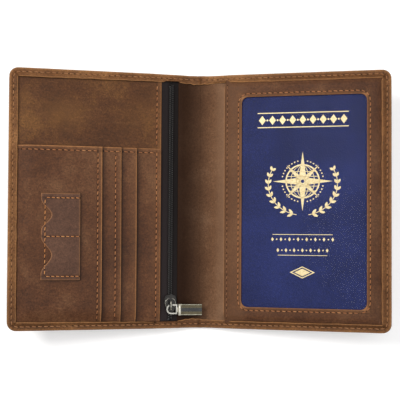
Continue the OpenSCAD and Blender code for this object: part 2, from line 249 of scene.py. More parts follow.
class Nodes:
    def __init__(self, name):
        self.m = bpy.data.materials.new(name)
        self.m.use_nodes = True
        self.t = self.m.node_tree
        self.b = self.t.nodes["Principled BSDF"]

    def n(self, kind, ins=None, **props):
        x = self.t.nodes.new(kind)
        for k, v in props.items():
            setattr(x, k, v)
        for k, v in (ins or {}).items():
            s = x.inputs[k]
            if hasattr(v, "links") or isinstance(v, bpy.types.NodeSocket):
                self.t.links.new(v, s)
            else:
                s.default_value = v
        return x

    def link(self, a, b):
        self.t.links.new(a, b)

    def attr(self, name):
        return self.n("ShaderNodeAttribute", attribute_name=name)

    def noise(self, vec, scale, detail=4, rough=0.55, dist=0.0):
        return self.n("ShaderNodeTexNoise", {"Vector": vec, "Scale": scale, "Detail": detail, "Roughness": rough,
                                             "Distortion": dist}).outputs["Fac"]

    def mapped(self, vec, scale=(1, 1, 1), rot=(0, 0, 0), loc=(0, 0, 0)):
        return self.n("ShaderNodeMapping", {"Vector": vec, "Scale": scale, "Rotation": rot, "Location": loc}).outputs[0]

    def math(self, op, a, b=0.0, c=0.0, clamp=False):
        x = self.n("ShaderNodeMath", operation=op, use_clamp=clamp)
        for i, v in enumerate((a, b, c)):
            if isinstance(v, bpy.types.NodeSocket):
                self.link(v, x.inputs[i])
            elif i < len(x.inputs):
                x.inputs[i].default_value = v
        return x.outputs[0]

    def ramp(self, fac, stops):
        x = self.n("ShaderNodeValToRGB", {"Fac": fac})
        el = x.color_ramp.elements
        while len(el) < len(stops):
            el.new(0.5)
        for e, (p, c) in zip(el, stops):
            e.position, e.color = p, (c if hasattr(c, "__len__") else (c, c, c, 1))
        return x.outputs["Color"]

    def mix(self, fac, a, b, mode="MIX"):
        x = self.n("ShaderNodeMix", data_type="RGBA", blend_type=mode)
        for s, v in ((x.inputs[0], fac), (x.inputs[6], a), (x.inputs[7], b)):
            if isinstance(v, bpy.types.NodeSocket):
                self.link(v, s)
            else:
                s.default_value = v
        return x.outputs[2]

    def bump(self, height, strength, dist, normal=None):
        x = self.n("ShaderNodeBump", {"Height": height, "Strength": strength, "Distance": dist})
        if normal is not None:
            self.link(normal, x.inputs["Normal"])
        return x.outputs[0]

    def put(self, **ins):
        for k, v in ins.items():
            s = self.b.inputs[k.replace("_", " ")]
            if isinstance(v, bpy.types.NodeSocket):
                self.link(v, s)
            else:
                s.default_value = v
        return self.m


def leather(name, dark, mid, light, worn, rough=(0.5, 0.68), grain=1.0, mottle=1.0, streak=0.5, seed=0.0,
            speck=1.0, spec=0.16):
    """Waxed pull-up leather: soft mottling, pale pull-up marks, rubbed edges with a painted highlight on the edge
    beads, painted shade and light from the tone, and a fine broken grain.
    """
    N = Nodes(name)
    v = N.mapped(N.attr("rco").outputs["Vector"], loc=(seed, seed * 0.7, 0))
    big = N.noise(v, 0.32, 3, 0.5, 0.4)
    med = N.noise(v, 1.15, 5, 0.6, 0.8)
    fine = N.noise(v, 7.5, 6, 0.68, 0.2)
    tiny = N.noise(v, 30.0, 4, 0.6)
    f = N.math("ADD", N.math("MULTIPLY", big, 0.48), N.math("MULTIPLY", med, 0.27))
    f = N.math("ADD", f, N.math("MULTIPLY", fine, 0.25))
    f = N.math("ADD", N.math("MULTIPLY", N.math("SUBTRACT", f, 0.5), 1.9 * mottle), 0.5, clamp=True)
    col = N.ramp(f, [(0.0, dark), (0.5, mid), (1.0, light)])
    # pull-up streaks: long soft pale marks
    st = N.noise(N.mapped(v, scale=(0.55, 3.2, 1), rot=(0, 0, 0.5)), 1.3, 4, 0.6, 1.6)
    st = N.ramp(st, [(0.0, 0.0), (0.56, 0.0), (0.68, 1.0), (1.0, 1.0)])
    col = N.mix(N.math("MULTIPLY", st, 0.16 * streak), col, worn)
    # fine scratches
    sc = N.noise(N.mapped(v, scale=(0.35, 9, 1), rot=(0, 0, -0.8)), 4.0, 3, 0.7, 2.2)
    sc = N.ramp(sc, [(0.0, 0.0), (0.66, 0.0), (0.70, 1.0), (1.0, 1.0)])
    col = N.mix(N.math("MULTIPLY", sc, 0.10 * streak), col, worn)
    # speckle of the open grain
    mid_ = N.noise(v, 15.0, 4, 0.7, 0.3)
    sp = N.ramp(mid_, [(0.28, 0.54), (0.48, 0.97), (0.62, 1.20), (0.8, 1.46)])
    col = N.mix(0.62 * speck, col, sp, "MULTIPLY")
    sp = N.ramp(tiny, [(0.0, 0.78), (0.45, 1.0), (0.7, 1.12), (1.0, 1.2)])
    col = N.mix(0.5, col, sp, "MULTIPLY")
    sp = N.ramp(N.noise(v, 9.0, 3, 0.6, 0.5), [(0.32, 0.66), (0.5, 1.0), (0.68, 1.32)])
    col = N.mix(0.6 * speck, col, sp, "MULTIPLY")
    # rubbed edges, with the painted highlight on the panels' edge beads
    w = N.math("MULTIPLY", N.attr("wear_and_highlight").outputs["Fac"],
               N.math("ADD", N.math("MULTIPLY", fine, 1.1), N.math("MULTIPLY", med, 0.5)), clamp=True)
    col = N.mix(w, col, worn)
    # tone: painted shade and painted light; above 0 darkens, below 0 lightens
    tn = N.attr("tone").outputs["Fac"]
    col = N.mix(N.math("MAXIMUM", tn, 0.0), col, (dark[0] * 0.16, dark[1] * 0.13, dark[2] * 0.10, 1))
    col = N.mix(N.math("MAXIMUM", N.math("MULTIPLY", tn, -1.0), 0.0), col, light)
    # grain: cells, creases and pores
    vo = N.n("ShaderNodeTexVoronoi", {"Vector": N.mapped(v, scale=(1, 1.15, 1)), "Scale": 11.0, "Randomness": 1.0},
             feature="DISTANCE_TO_EDGE").outputs["Distance"]
    cell = N.ramp(vo, [(0.0, 0.0), (0.16, 0.75), (0.5, 1.0), (1.0, 1.0)])
    n1 = N.bump(cell, 0.26 * grain, 0.00010)
    n2 = N.bump(fine, 0.55 * grain, 0.00022, n1)
    n3 = N.bump(med, 0.5, 0.0006, n2)
    n4 = N.bump(tiny, 0.35 * grain, 0.00005, n3)
    rg = N.ramp(N.math("ADD", N.math("MULTIPLY", fine, 0.6), N.math("MULTIPLY", med, 0.4)),
                [(0.3, rough[0]), (0.7, rough[1])])
    N.put(Base_Color=col, Roughness=rg, Normal=n4, Specular_IOR_Level=spec)
    return N.m


M_OUT = leather("outer_leather", lin(60, 34, 15), lin(98, 61, 32), lin(134, 92, 54), lin(182, 132, 84),
                streak=0.7, grain=1.2, mottle=1.6, seed=3.1, speck=1.5)
M_PANEL = leather("panel_leather", lin(52, 29, 17), lin(83, 51, 31), lin(108, 75, 50), lin(170, 118, 74),
                  streak=0.35, grain=0.9, mottle=1.35, speck=1.2)
M_TICKET = leather("ticket_leather", lin(52, 30, 16), lin(79, 48, 26), lin(114, 77, 40), lin(170, 118, 74),
                   streak=0.4, grain=0.9, mottle=1.2, seed=1.9, speck=1.2)
M_SIM = leather("memory_card_leather", lin(54, 34, 25), lin(82, 56, 43), lin(103, 73, 57), lin(168, 118, 78),
                streak=0.2, grain=0.9, mottle=1.0, seed=5.3, speck=1.1)
M_LINING = leather("lining_leather", lin(72, 44, 28), lin(101, 71, 50), lin(138, 106, 82), lin(164, 110, 62),
                   rough=(0.58, 0.72), grain=0.5, mottle=0.8, streak=0.15, seed=7.7, speck=0.9, spec=0.07)


def thread_mat(name, cols):
    N = Nodes(name)
    v = N.attr("rco").outputs["Vector"]
    wv = N.n("ShaderNodeTexWave", {"Vector": v, "Scale": 9.0, "Distortion": 0.6, "Detail": 2.0},
             wave_type="BANDS", bands_direction="DIAGONAL").outputs["Fac"]
    nz = N.noise(v, 2.2, 4, 0.6)
    col = N.ramp(nz, [(0.3, cols[0]), (0.5, cols[1]), (0.72, cols[2])])
    col = N.mix(N.math("MULTIPLY", wv, 0.3), col, lin(112, 66, 36), "MIX")
    N.put(Base_Color=col, Roughness=0.55, Normal=N.bump(wv, 0.8, 0.00012), Specular_IOR_Level=0.3,
          Sheen_Weight=0.15)
    return N.m


# Near-black needle holes: painted shade in each hole.
def hole_mat(name, a, b):
    N = Nodes(name)
    nz = N.noise(N.attr("rco").outputs["Vector"], 20.0, 3)
    N.put(Base_Color=N.ramp(nz, [(0.3, a), (0.8, b)]), Roughness=0.85,
          Specular_IOR_Level=0.1)
    return N.m


def tape_mat():
    """Black herringbone zip tape."""
    N = Nodes("zip_tape")
    v = N.attr("rco").outputs["Vector"]
    a = N.n("ShaderNodeTexWave", {"Vector": N.mapped(v, rot=(0, 0, 0.62)), "Scale": 8.5, "Distortion": 0.3},
            bands_direction="Y").outputs["Fac"]
    b = N.n("ShaderNodeTexWave", {"Vector": N.mapped(v, rot=(0, 0, -0.62)), "Scale": 8.5, "Distortion": 0.3},
            bands_direction="Y").outputs["Fac"]
    stripe = N.n("ShaderNodeTexWave", {"Vector": v, "Scale": 1.9}, bands_direction="X").outputs["Fac"]
    sel = N.ramp(stripe, [(0.45, 0.0), (0.55, 1.0)])
    wv = N.mix(sel, a, b)
    nz = N.noise(v, 14.0, 5, 0.7)
    col = N.mix(N.math("MULTIPLY", wv, 0.6), lin(14, 11, 11), lin(38, 32, 32))
    col = N.mix(N.math("MULTIPLY", nz, 0.4), col, lin(30, 24, 22))
    col = N.mix(N.attr("tone").outputs["Fac"], col, lin(88, 76, 78))
    N.put(Base_Color=col, Roughness=0.8, Normal=N.bump(wv, 0.7, 0.00015, N.bump(nz, 0.5, 0.0001)),
          Specular_IOR_Level=0.12, Sheen_Weight=0.03)
    return N.m


def coil_mat():
    N = Nodes("zip_coil")
    nz = N.noise(N.attr("rco").outputs["Vector"], 10.0, 4, 0.6)
    col = N.ramp(nz, [(0.3, lin(10, 9, 10)), (0.8, lin(22, 21, 22))])
    # mixes in the painted glint on the teeth
    col = N.mix(N.attr("wear_and_highlight").outputs["Fac"], col, lin(150, 147, 142))
    N.put(Base_Color=col, Roughness=0.22,
          Normal=N.bump(nz, 0.2, 0.00004), Specular_IOR_Level=0.45)
    return N.m


def metal(name, dark, light, rough=(0.25, 0.42), brush=(1, 1, 1), strength=0.2, metallic=0.9):
    N = Nodes(name)
    tc = N.n("ShaderNodeTexCoord").outputs["Object"]
    v = N.mapped(tc, scale=tuple(b * 1000 for b in brush))
    nz = N.noise(v, 1.4, 5, 0.65)
    blot = N.noise(tc, 420.0, 4, 0.6)
    f = N.math("ADD", N.math("MULTIPLY", nz, 0.5), N.math("MULTIPLY", blot, 0.5))
    N.put(Base_Color=N.ramp(f, [(0.3, dark), (0.7, light)]), Metallic=metallic,
          Roughness=N.ramp(nz, [(0.3, rough[0]), (0.7, rough[1])]), Normal=N.bump(nz, strength, 0.00005))
    return N.m


def film_mat():
    N = Nodes("window_film")
    tc = N.n("ShaderNodeTexCoord").outputs["Object"]
    nz = N.noise(tc, 28.0, 3, 0.5, 0.6)
    N.put(Base_Color=(0.02, 0.025, 0.04, 1), Roughness=0.06, Normal=N.bump(nz, 0.4, 0.0005), Alpha=0.05,
          Specular_IOR_Level=0.3)
    return N.m


def book_mat():
    """Navy book cloth with a pressed leather grain."""
    N = Nodes("booklet_cover")
    tc = N.mapped(N.n("ShaderNodeTexCoord").outputs["Object"], scale=(100, 100, 100))
    big = N.noise(tc, 0.3, 3, 0.5)
    fine = N.noise(tc, 9.0, 5, 0.7, 0.5)
    vo = N.n("ShaderNodeTexVoronoi", {"Vector": N.mapped(tc, scale=(1, 0.7, 1)), "Scale": 9.0},
             feature="DISTANCE_TO_EDGE").outputs["Distance"]
    cell = N.ramp(vo, [(0.0, 0.0), (0.25, 0.8), (0.6, 1.0)])
    f = N.math("ADD", N.math("MULTIPLY", big, 0.55), N.math("MULTIPLY", fine, 0.45))
    col = N.ramp(f, [(0.3, lin(17, 23, 64)), (0.5, lin(24, 33, 83)), (0.7, lin(38, 49, 109))])
    tw = N.noise(N.mapped(tc, rot=(0, 0, 0.7), scale=(1, 1.8, 1)), 11.0, 3, 0.6)
    col = N.mix(0.7, col, N.ramp(tw, [(0.3, 0.62), (0.5, 1.0), (0.7, 1.42)]), "MULTIPLY")
    N.put(Base_Color=col, Roughness=N.ramp(fine, [(0.3, 0.5), (0.7, 0.66)]),
          Normal=N.bump(cell, 0.5, 0.00012, N.bump(fine, 0.5, 0.0001)), Specular_IOR_Level=0.22)
    return N.m


def foil_mat():
    N = Nodes("booklet_foil")
    v = N.attr("rco").outputs["Vector"]
    nz = N.noise(v, 12.0, 5, 0.7)
    col = N.ramp(nz, [(0.3, lin(222, 194, 132)), (0.55, lin(250, 230, 176)), (0.8, lin(255, 246, 214))])
    N.put(Base_Color=col, Metallic=0.12, Roughness=N.ramp(nz, [(0.3, 0.3), (0.7, 0.5)]),
          Normal=N.bump(nz, 0.4, 0.00006))
    return N.m


def paper_mat():
    N = Nodes("booklet_paper")
    tc = N.n("ShaderNodeTexCoord").outputs["Object"]
    lines = N.n("ShaderNodeTexWave", {"Vector": N.mapped(tc, rot=(0, -TILT, 0)), "Scale": 900.0, "Distortion": 0.4},
                bands_direction="Z").outputs["Fac"]
    nz = N.noise(tc, 900.0, 4)
    col = N.mix(lines, lin(188, 180, 160), lin(226, 220, 202))
    N.put(Base_Color=N.mix(N.math("MULTIPLY", nz, 0.3), col, lin(205, 196, 172)), Roughness=0.9,
          Normal=N.bump(lines, 0.6, 0.0001))
    return N.m


def board_mat(name, a, b, scale):
    N = Nodes(name)
    tc = N.n("ShaderNodeTexCoord").outputs["Object"]
    w1 = N.n("ShaderNodeTexWave", {"Vector": tc, "Scale": scale}, bands_direction="X").outputs["Fac"]
    w2 = N.n("ShaderNodeTexWave", {"Vector": tc, "Scale": scale}, bands_direction="Y").outputs["Fac"]
    w = N.math("MULTIPLY", w1, w2)
    N.put(Base_Color=N.mix(w, a, b), Roughness=0.88, Normal=N.bump(w, 0.5, 0.0001))
    return N.m


M_THREAD = thread_mat("thread", (lin(138, 80, 40), lin(174, 110, 60), lin(212, 154, 100)))
M_THREAD_D = thread_mat("thread_dark", (lin(98, 60, 32), lin(130, 84, 46), lin(170, 118, 74)))
M_THREAD_B = thread_mat("thread_bright", (lin(160, 94, 44), lin(202, 130, 66), lin(236, 176, 112)))
M_THREAD_Q = thread_mat("thread_waxed", (lin(132, 84, 46), lin(164, 112, 66), lin(204, 152, 102)))
M_HOLE, M_HOLE_Q = hole_mat("needle_hole", lin(24, 13, 7), lin(46, 27, 15)), hole_mat("needle_hole_shallow", lin(46, 28, 14), lin(70, 44, 24))
M_TAPE, M_COIL = tape_mat(), coil_mat()
M_SLIDER = metal("slider_metal", lin(28, 27, 26), lin(50, 48, 46))
M_LINK = metal("link_metal", lin(96, 94, 88), lin(160, 157, 149), rough=(0.18, 0.32), metallic=0.75)
M_COLLAR = metal("collar_metal", lin(112, 107, 94), lin(160, 155, 140), rough=(0.24, 0.36))
M_BAR = metal("pull_metal", lin(58, 53, 40), lin(88, 81, 63), brush=(0.25, 2.2, 1), strength=0.35)
# lighter and darker copies of the metal: painted highlights on the pull's rims, the slider's rim and rib and the collar
# band, and painted shade in the pull's sunk middle
M_RIM_HIGHLIGHT = metal("rim_painted_highlight_metal", lin(120, 117, 104), lin(172, 168, 150), rough=(0.22, 0.36))
M_SLIDER_HIGHLIGHT = metal("slider_painted_highlight_metal", lin(132, 129, 118), lin(180, 176, 162), rough=(0.2, 0.32), metallic=0.6)
M_COLLAR_HIGHLIGHT = metal("collar_painted_highlight_metal", lin(212, 208, 194), lin(242, 239, 228), rough=(0.16, 0.28), metallic=0.35)
M_GROOVE_SHADE = metal("pull_groove_painted_shade", lin(40, 40, 40), lin(66, 66, 65), brush=(0.25, 2.2, 1), strength=0.35)
M_FILM, M_BOOK, M_FOIL, M_PAPER = film_mat(), book_mat(), foil_mat(), paper_mat()
M_BOARD = board_mat("interlining", lin(150, 128, 96), lin(186, 164, 128), 600.0)
M_BAG = board_mat("pocket_fabric", lin(44, 40, 38), lin(70, 66, 62), 500.0)

# ------------------------------------------------------------------ heights
FLAP_T = 0.85
# distances of the turned border's raw inner edge from the wallet's edge
def flap_width(x, y):
    """How wide the turned border is along the path, with its hand-cut waver and the puckers at the spine."""
    x, y = np.asarray(x, float), np.asarray(y, float)
    top = np.interp(x, [-104, -60, -28, -22.7, -20.2, -17.7, -14.2, -11.3, -9.5, -7, -4, 0, 4, 7, 14, 24, 60, 104],
                    [5.0, 4.7, 4.5, 4.6, 3.7, 3.2, 3.7, 4.4, 4.9, 4.35, 5.0, 5.15, 4.9, 4.35, 4.25, 4.6, 4.7, 4.8])
    bot = np.interp(x, [-104, -60, -28, -21, -17, -14, -10, -5, 0, 7, 14, 23, 60, 104],
                    [4.8, 4.4, 3.9, 3.5, 3.3, 3.6, 4.6, 5.1, 4.95, 4.5, 4.35, 4.4, 4.5, 4.7])
    side = np.where(x < 0, 4.75, 5.25)
    base = np.where(np.abs(y) > HY - 1, np.where(y > 0, top, bot), side)
    near = np.exp(-((x + 3.0) / 13.0) ** 2) * (np.abs(y) > HY - 1)
    return (base + 0.13 * wob(x * 1.9, y * 1.9, 1.0, 3.0) + 0.09 * np.sin(x * 0.9 + 0.5) * np.sin(y * 0.7)
            + near * (0.20 * np.sin(x * 1.5 + 1.0) + 0.12 * np.sin(x * 2.9 + 0.3)))


def flap_top(x, y):
    """Top of the turned border."""
    h = np.interp(x, [-106, -27, -22, -12, -5, 0, 5, 12, 17, 106], [4.5, 4.5, 4.05, 3.85, 3.05, 2.95, 3.0, 3.2, 3.9, 3.9])
    ripple = 0.10 * wob(np.asarray(x) * 2.1, np.asarray(y) * 2.1, 1.0, 1.0)
    fold = 0.26 * np.exp(-((np.asarray(x) + 3) / 9.0) ** 2) * np.sin(np.asarray(x) * 1.15 + np.where(np.asarray(y) > 0, 0.4, 2.0))
    return h + ripple + fold


def flap_lift(x, y):
    """How far the border's raw edge stands up over what is sewn under it."""
    x, y = np.asarray(x, float), np.asarray(y, float)
    r = 1.35 * sstep((x - 15) / 5)
    l = 0.45 * sstep((-24 - x) / 6) * sstep((36 - y) / 6) + 0.12 * sstep((-24 - x) / 6)
    return r + l + 0.12 * wob(x * 2.3, y * 2.3, 1.0, 5.0)


def shell(name, side, body, replaces):
    """The outer leather of one half: outside face, rolled edge, turned border and inside face."""
    def outline(inset):
        x0, x1 = -HX + inset, 0.0
        y0, y1 = -HY + inset, HY - inset
        r = 5.0 - inset
        xs = spaced(x0, x1, 2.0, ends=(True, False))
        ys = spaced(y0, y1, 2.4)
        X, Y = np.meshgrid(xs, ys, indexing="ij")
        return round_corners(X, Y, x0, x1, y0, y1, (r, 0, 0, r)), len(xs), len(ys), r
    (X, Y), nx, ny, r = outline(0.55)
    # path: top edge from the middle to the corner, down the free side, back along the bottom
    path = [i * ny + ny - 1 for i in range(nx - 1, -1, -1)] + [j for j in range(ny - 2, -1, -1)] + [i * ny for i in range(1, nx)]
    P = np.stack([X.ravel(), Y.ravel()], 1)
    B = P[path]
    # inward normals: away from the edge, or towards the corner's centre
    cx, cy = -HX + 5.0, HY - 5.0
    nrm = np.zeros_like(B)
    for k, (bx, by) in enumerate(B):
        if bx < cx and abs(by) > cy:
            d = np.array([cx - bx, math.copysign(cy, by) - by])
            nrm[k] = d / np.linalg.norm(d)
        elif bx <= -HX + 1.0 and abs(by) <= cy:
            nrm[k] = (1, 0)
        else:
            nrm[k] = (0, -1 if by > 0 else 1)
    E = B - nrm * 0.55
    sx = E[:, 0] * (1 if side < 0 else -1)       # real x, for the shape functions
    zt, lift, din = flap_top(sx, E[:, 1]), flap_lift(sx, E[:, 1]), flap_width(sx, E[:, 1])
    # the corners are gathered into small pleats
    ang = np.arctan2(nrm[:, 1], nrm[:, 0])
    cr = (np.abs(nrm[:, 0]) > 0.02) & (np.abs(nrm[:, 1]) > 0.02)
    pleat = np.where(cr, np.sin(ang * 16.0), 0)
    prof = [(0.15, 0 * zt + 0.2), (0.0, 0 * zt + 0.75), (-0.02, zt - 0.75), (0.14, zt - 0.22), (0.55, zt - 0.02),
            (1.3, zt + 0.03), (1.95, zt - 0.05), (2.35, zt - 0.17), (2.75, zt - 0.05),
            (3.3, zt + 0.05 + lift * 0.35), (3.95, zt + 0.03 + lift * 0.75)]
    # tones: painted shade in the stitch groove, under the raw edge and beneath the border, and in the pleat valleys; a
    # little darker next to the raw edge
    loops, wears, tones = [], [], []
    for d, z in prof:
        tones.append(0.30 * math.exp(-((d - 2.35) / 0.45) ** 2) + (0.10 if d > 3.2 else 0))
        pl = pleat * 0.3 * np.clip(d / 2, 0, 1)
        loops.append(np.column_stack([E + nrm * d, z + pl]))
        wears.append(0.5 * math.exp(-((d - 0.3) / 0.4) ** 2) + 0.06 * (0.5 < d))
    dcap = np.where(cr, np.minimum(din, 4.8), din)
    for off, dz, w in ((-0.5, 0.0, 0.12), (-0.22, -0.02, 0.6), (0.0, -0.22, 1.0), (-0.02, -0.62, 0.3), (-0.5, -0.84, 0.0)):
        loops.append(np.column_stack([E + nrm * (dcap + off)[:, None], zt + lift + dz + pleat * 0.3]))
        wears.append(w)
        tones.append(0.0 if dz > -0.5 else 0.5)
    loops.append(np.column_stack([E + nrm * 2.6, zt - 0.88 + lift * 0.2]))
    wears.append(0)
    loops.append(np.column_stack([E + nrm * 1.4, zt - 0.92]))
    wears.append(0)
    loops.append(np.column_stack([E + nrm * 1.25, 0 * zt + 1.25]))
    wears.append(0)
    n, m = len(P), len(path)
    V = [np.column_stack([P, np.zeros(n)])]
    wear_and_highlight = [np.zeros(n)]
    tl = [np.zeros(n)]
    for lp, w, tn in zip(loops, wears, tones + [0.5] * 5):
        V.append(lp)
        wear_and_highlight.append(np.full(m, w))
        tl.append(np.full(m, tn) + 0.22 * np.clip(-pleat, 0, 1))
    (X2, Y2), _, _, _ = outline(1.3)
    V.append(np.column_stack([X2.ravel(), Y2.ravel(), np.full(n, 1.2)]))
    wear_and_highlight.append(np.zeros(n))
    tl.append(np.zeros(n))
    V, wear_and_highlight, tl = np.concatenate(V), np.concatenate(wear_and_highlight), np.concatenate(tl)
    F = grid_faces(nx, ny, 0, True)
    rows = [path] + [[n + k * m + q for q in range(m)] for k in range(len(loops))]
    top0 = n + len(loops) * m
    rows.append([top0 + q for q in path])
    for a, b in zip(rows[:-1], rows[1:]):
        for q in range(m - 1):
            F.append((a[q], a[q + 1], b[q + 1], b[q]))
    F += grid_faces(nx, ny, top0)
    end = [(nx - 1) * ny + j for j in range(ny)]
    F.append(tuple(end + [r[0] for r in rows[1:-1]] + [top0 + v for v in reversed(end)] + [r[-1] for r in reversed(rows[1:-1])]))
    # rubbed patches along the outside edges
    if side > 0:
        V[:, 0] *= -1
        F = [tuple(reversed(f)) for f in F]
    d_edge = np.minimum(HX - np.abs(V[:, 0]), HY - np.abs(V[:, 1]))
    wear_and_highlight = np.maximum(wear_and_highlight, np.where(V[:, 2] < 1, 0.5 * np.exp(-np.clip(d_edge, 0, None) / 1.6), 0))
    # the fold line of the spine is rubbed on the outside
    wear_and_highlight = np.maximum(wear_and_highlight, np.where(V[:, 2] < 0.1, 0.3 * np.exp(-((np.abs(V[:, 0]) - 5.6) / 1.6) ** 2), 0))
    tone = tl + np.where(V[:, 2] < 1.3, 0.10, 0.0)
    return make(name, V, F, M_OUT, wear_and_highlight=wear_and_highlight, tone=tone, blend=LEFT_BLEND if side < 0 else RIGHT_BLEND,
                replaces=replaces, slot="outer_leather")


shell("outer_leather_left", -1, "left_cover", ["left_cover_leather"])
shell("outer_leather_right", 1, "right_cover", ["right_cover_leather", "spine_leather"])

# ------------------------------------------------------------------ left cover panels
FL, FB, FT = -HX + 4.75, -HY + 4.8, HY - 5.2       # raw edge of the border: left, bottom, top


def tucked(x, y, level, base, top=False):
    """Height of a panel that runs down under the border at the left, at the bottom and, for a full panel, at the top."""
    D = np.minimum(x - FL, y - FB)
    if top:
        D = np.minimum(D, FT - y)
    return base + (level - base) * sstep((D + 1.8) / 9.0)


def gape(x, y, edge, amount, y0, y1, reach=9.0):
    """A pocket's free edge stands up a little in the middle of its length."""
    along = np.clip((y - y0) / (y1 - y0), 0, 1)
    return amount * np.sin(np.pi * along) ** 0.7 * np.clip(1 - (edge - x) / reach, 0, 1) ** 1.6


E_TOP, D_TOP, C_TOP, B_TOP, A_TOP, S_TOP = 3.6, 4.35, 5.05, 5.75, 6.45, 7.05
BT = 29.0
YB = -HY + 2.6                                     # where the panels end under the border
XL = -HX + 2.6


def z_ticket(x, y):
    z = tucked(x, y, E_TOP, 3.3, True) + 0.10 * wob(x, y, 1.0, 2.0) * sstep((-26 - x) / 8)
    z = z + 0.35 * sstep((y - 34) / 10) * sstep((60 - y) / 8) * sstep((x + 95) / 10) * sstep((-34 - x) / 10)
    return z - 0.10 * np.exp(-((x + 25.3) / 0.55) ** 2)


def z_base(x, y):
    z = tucked(x, y, D_TOP, 3.42) + 0.05 * wob(x, y, 1.2, 4.0)
    z = z - 0.10 * np.exp(-((x + 25.3) / 0.55) ** 2)
    return z - 0.14 * np.exp(-((y - 26.7) / 0.6) ** 2)


def z_lower(x, y):
    z = tucked(x, y, C_TOP, 3.5) + gape(x, y, -36.4, 0.85, -66, 28, 7.5)
    return z - 0.14 * np.exp(-((y - 26.7) / 0.6) ** 2) - 0.05


def z_middle(x, y):
    z = tucked(x, y, B_TOP, 3.58) + gape(x, y, -44.9, 0.35, -66, 28, 6)
    z = z - 0.30 * np.exp(-((x + 46.9) / 0.55) ** 2) + 0.12 * np.exp(-((x + 46.0) / 0.5) ** 2)
    z = z - 0.12 * np.exp(-((x + 48.1) / 0.55) ** 2)
    return z - 0.14 * np.exp(-((y - 26.7) / 0.6) ** 2)


def z_front(x, y):
    z = tucked(x, y, A_TOP, 3.66) + gape(x, y, -55.6, 0.45, -66, 28, 8) + 0.10 * wob(x, y, 1.0, 9.0)
    z = z - 0.14 * np.exp(-((x + 57.9) / 0.55) ** 2)
    return z - 0.14 * np.exp(-((y - 26.7) / 0.6) ** 2)


SY = -0.75


def z_sim(x, y):
    z = z_front(x, y) + 0.72 + gape(x, y, -67.5, 0.3, -43.3 + SY, 3.7 + SY, 4)
    return z - sum(0.13 * np.exp(-((y - SY - r) / 0.5) ** 2) for r in (1.3, -19.7, -41.3))


# Rubbed pale free edges, made brighter as a painted highlight on each edge's bead.
def edge_wear_and_highlight(right=None, top=None, left=None, bottom=None, w=1.1, amt=1.0):
    def f(x, y):
        out = np.zeros_like(x)
        for d in ((right - x) if right is not None else None, (top - y) if top is not None else None,
                  (x - left) if left is not None else None, (y - bottom) if bottom is not None else None):
            if d is not None:
                d = np.clip(d, 0, None)
                out = np.maximum(out, 0.9 * amt * np.maximum(np.exp(-(d / (0.38 * w)) ** 2), 0.10 * np.exp(-(d / (1.9 * w)) ** 2)))
        return out
    return f


def painted_shadow_right_of(edge, width, amt):
    """Painted shadow in the angle just past a step."""
    return lambda x, y: amt * np.exp(-(np.clip(x - edge, 0, None) / width)) * (x > edge - 0.5)


def sim_shade(x, y):
    """The line of shade round the memory card pocket."""
    y = y - SY
    iny, inx = sstep((4.2 - y) / 0.4) * sstep((y + 43.8) / 0.4), sstep((x + 88.6) / 0.6) * sstep((-67.0 - x) / 0.4)
    return (0.92 * np.exp(-(np.clip(x + 67.5, 0, None) / 1.1)) * (x > -67.9) * iny
            + 0.7 * np.exp(-(np.clip(-43.3 - y, 0, None) / 0.9)) * (y < -42.9) * inx
            + 0.34 * np.exp(-(np.clip(y - 3.7, 0, None) / 0.5)) * (y > 3.3) * inx)


# The panels take a painted shadow just past each step, painted shade along the stitch rows and a painted highlight on
# each free edge's bead; some are a little lighter in places.
panel("ticket_panel_leather", XL, -22.8, -HY + 2.6, HY - 2.6, z_ticket, 0.8, M_TICKET, radii=(3, 0, 0, 3),
      xr=(-25.3,), wear_and_highlight_fn=lambda x, y: np.maximum(edge_wear_and_highlight(right=-22.8, w=1.2)(x, y), 0.14 * np.exp(-((x + 24.0) / 2.2) ** 2)),
      tonefn=lambda x, y: (0.03 - 0.10 * np.exp(-((x + 27) / 6) ** 2) - 0.42 * np.exp(-((x + 77) / 13) ** 2 - ((y - 47) / 8) ** 2)
                              - 0.2 * np.exp(-((x + 38) / 8) ** 2 - ((y - 46) / 10) ** 2) - 0.15 * np.exp(-((x + 98) / 5) ** 2 - ((y - 54) / 7) ** 2)),
      body="left_cover", replaces=["ticket_panel"],
      slot="panel_leather")
panel("card_panel_base_leather", -62, -22.9, YB, BT, z_base, 0.7, M_PANEL,
      xr=(-25.3,), yr=(26.7,), wear_and_highlight_fn=lambda x, y: np.maximum(edge_wear_and_highlight(right=-22.9, top=BT, w=1.0)(x, y),
                                     0.10 * np.exp(-((y - 27.9) / 1.0) ** 2) + 0.12 * np.exp(-((x + 24.0) / 2) ** 2)),
      tonefn=lambda x, y: painted_shadow_right_of(-36.4, 1.8, 0.92)(x, y) - 0.15 * np.exp(-((x + 27) / 5) ** 2),
      xl=(-36.4,), body="left_cover", replaces=["card_panel_base"], slot="panel_leather")
panel("card_panel_lower_leather", XL, -36.4, YB, BT, z_lower, 0.7, M_PANEL,
      yr=(26.7,), wear_and_highlight_fn=lambda x, y: np.maximum(edge_wear_and_highlight(right=-36.4, top=BT, w=1.1, amt=1.2)(x, y), 0.10 * np.exp(-((y - 27.9) / 1.0) ** 2)),
      tonefn=lambda x, y: painted_shadow_right_of(-44.9, 1.7, 0.90)(x, y) - 0.12 * sstep((x + 43.5) / 3), xl=(-44.9,), body="left_cover", replaces=["card_panel_lower"], slot="panel_leather")
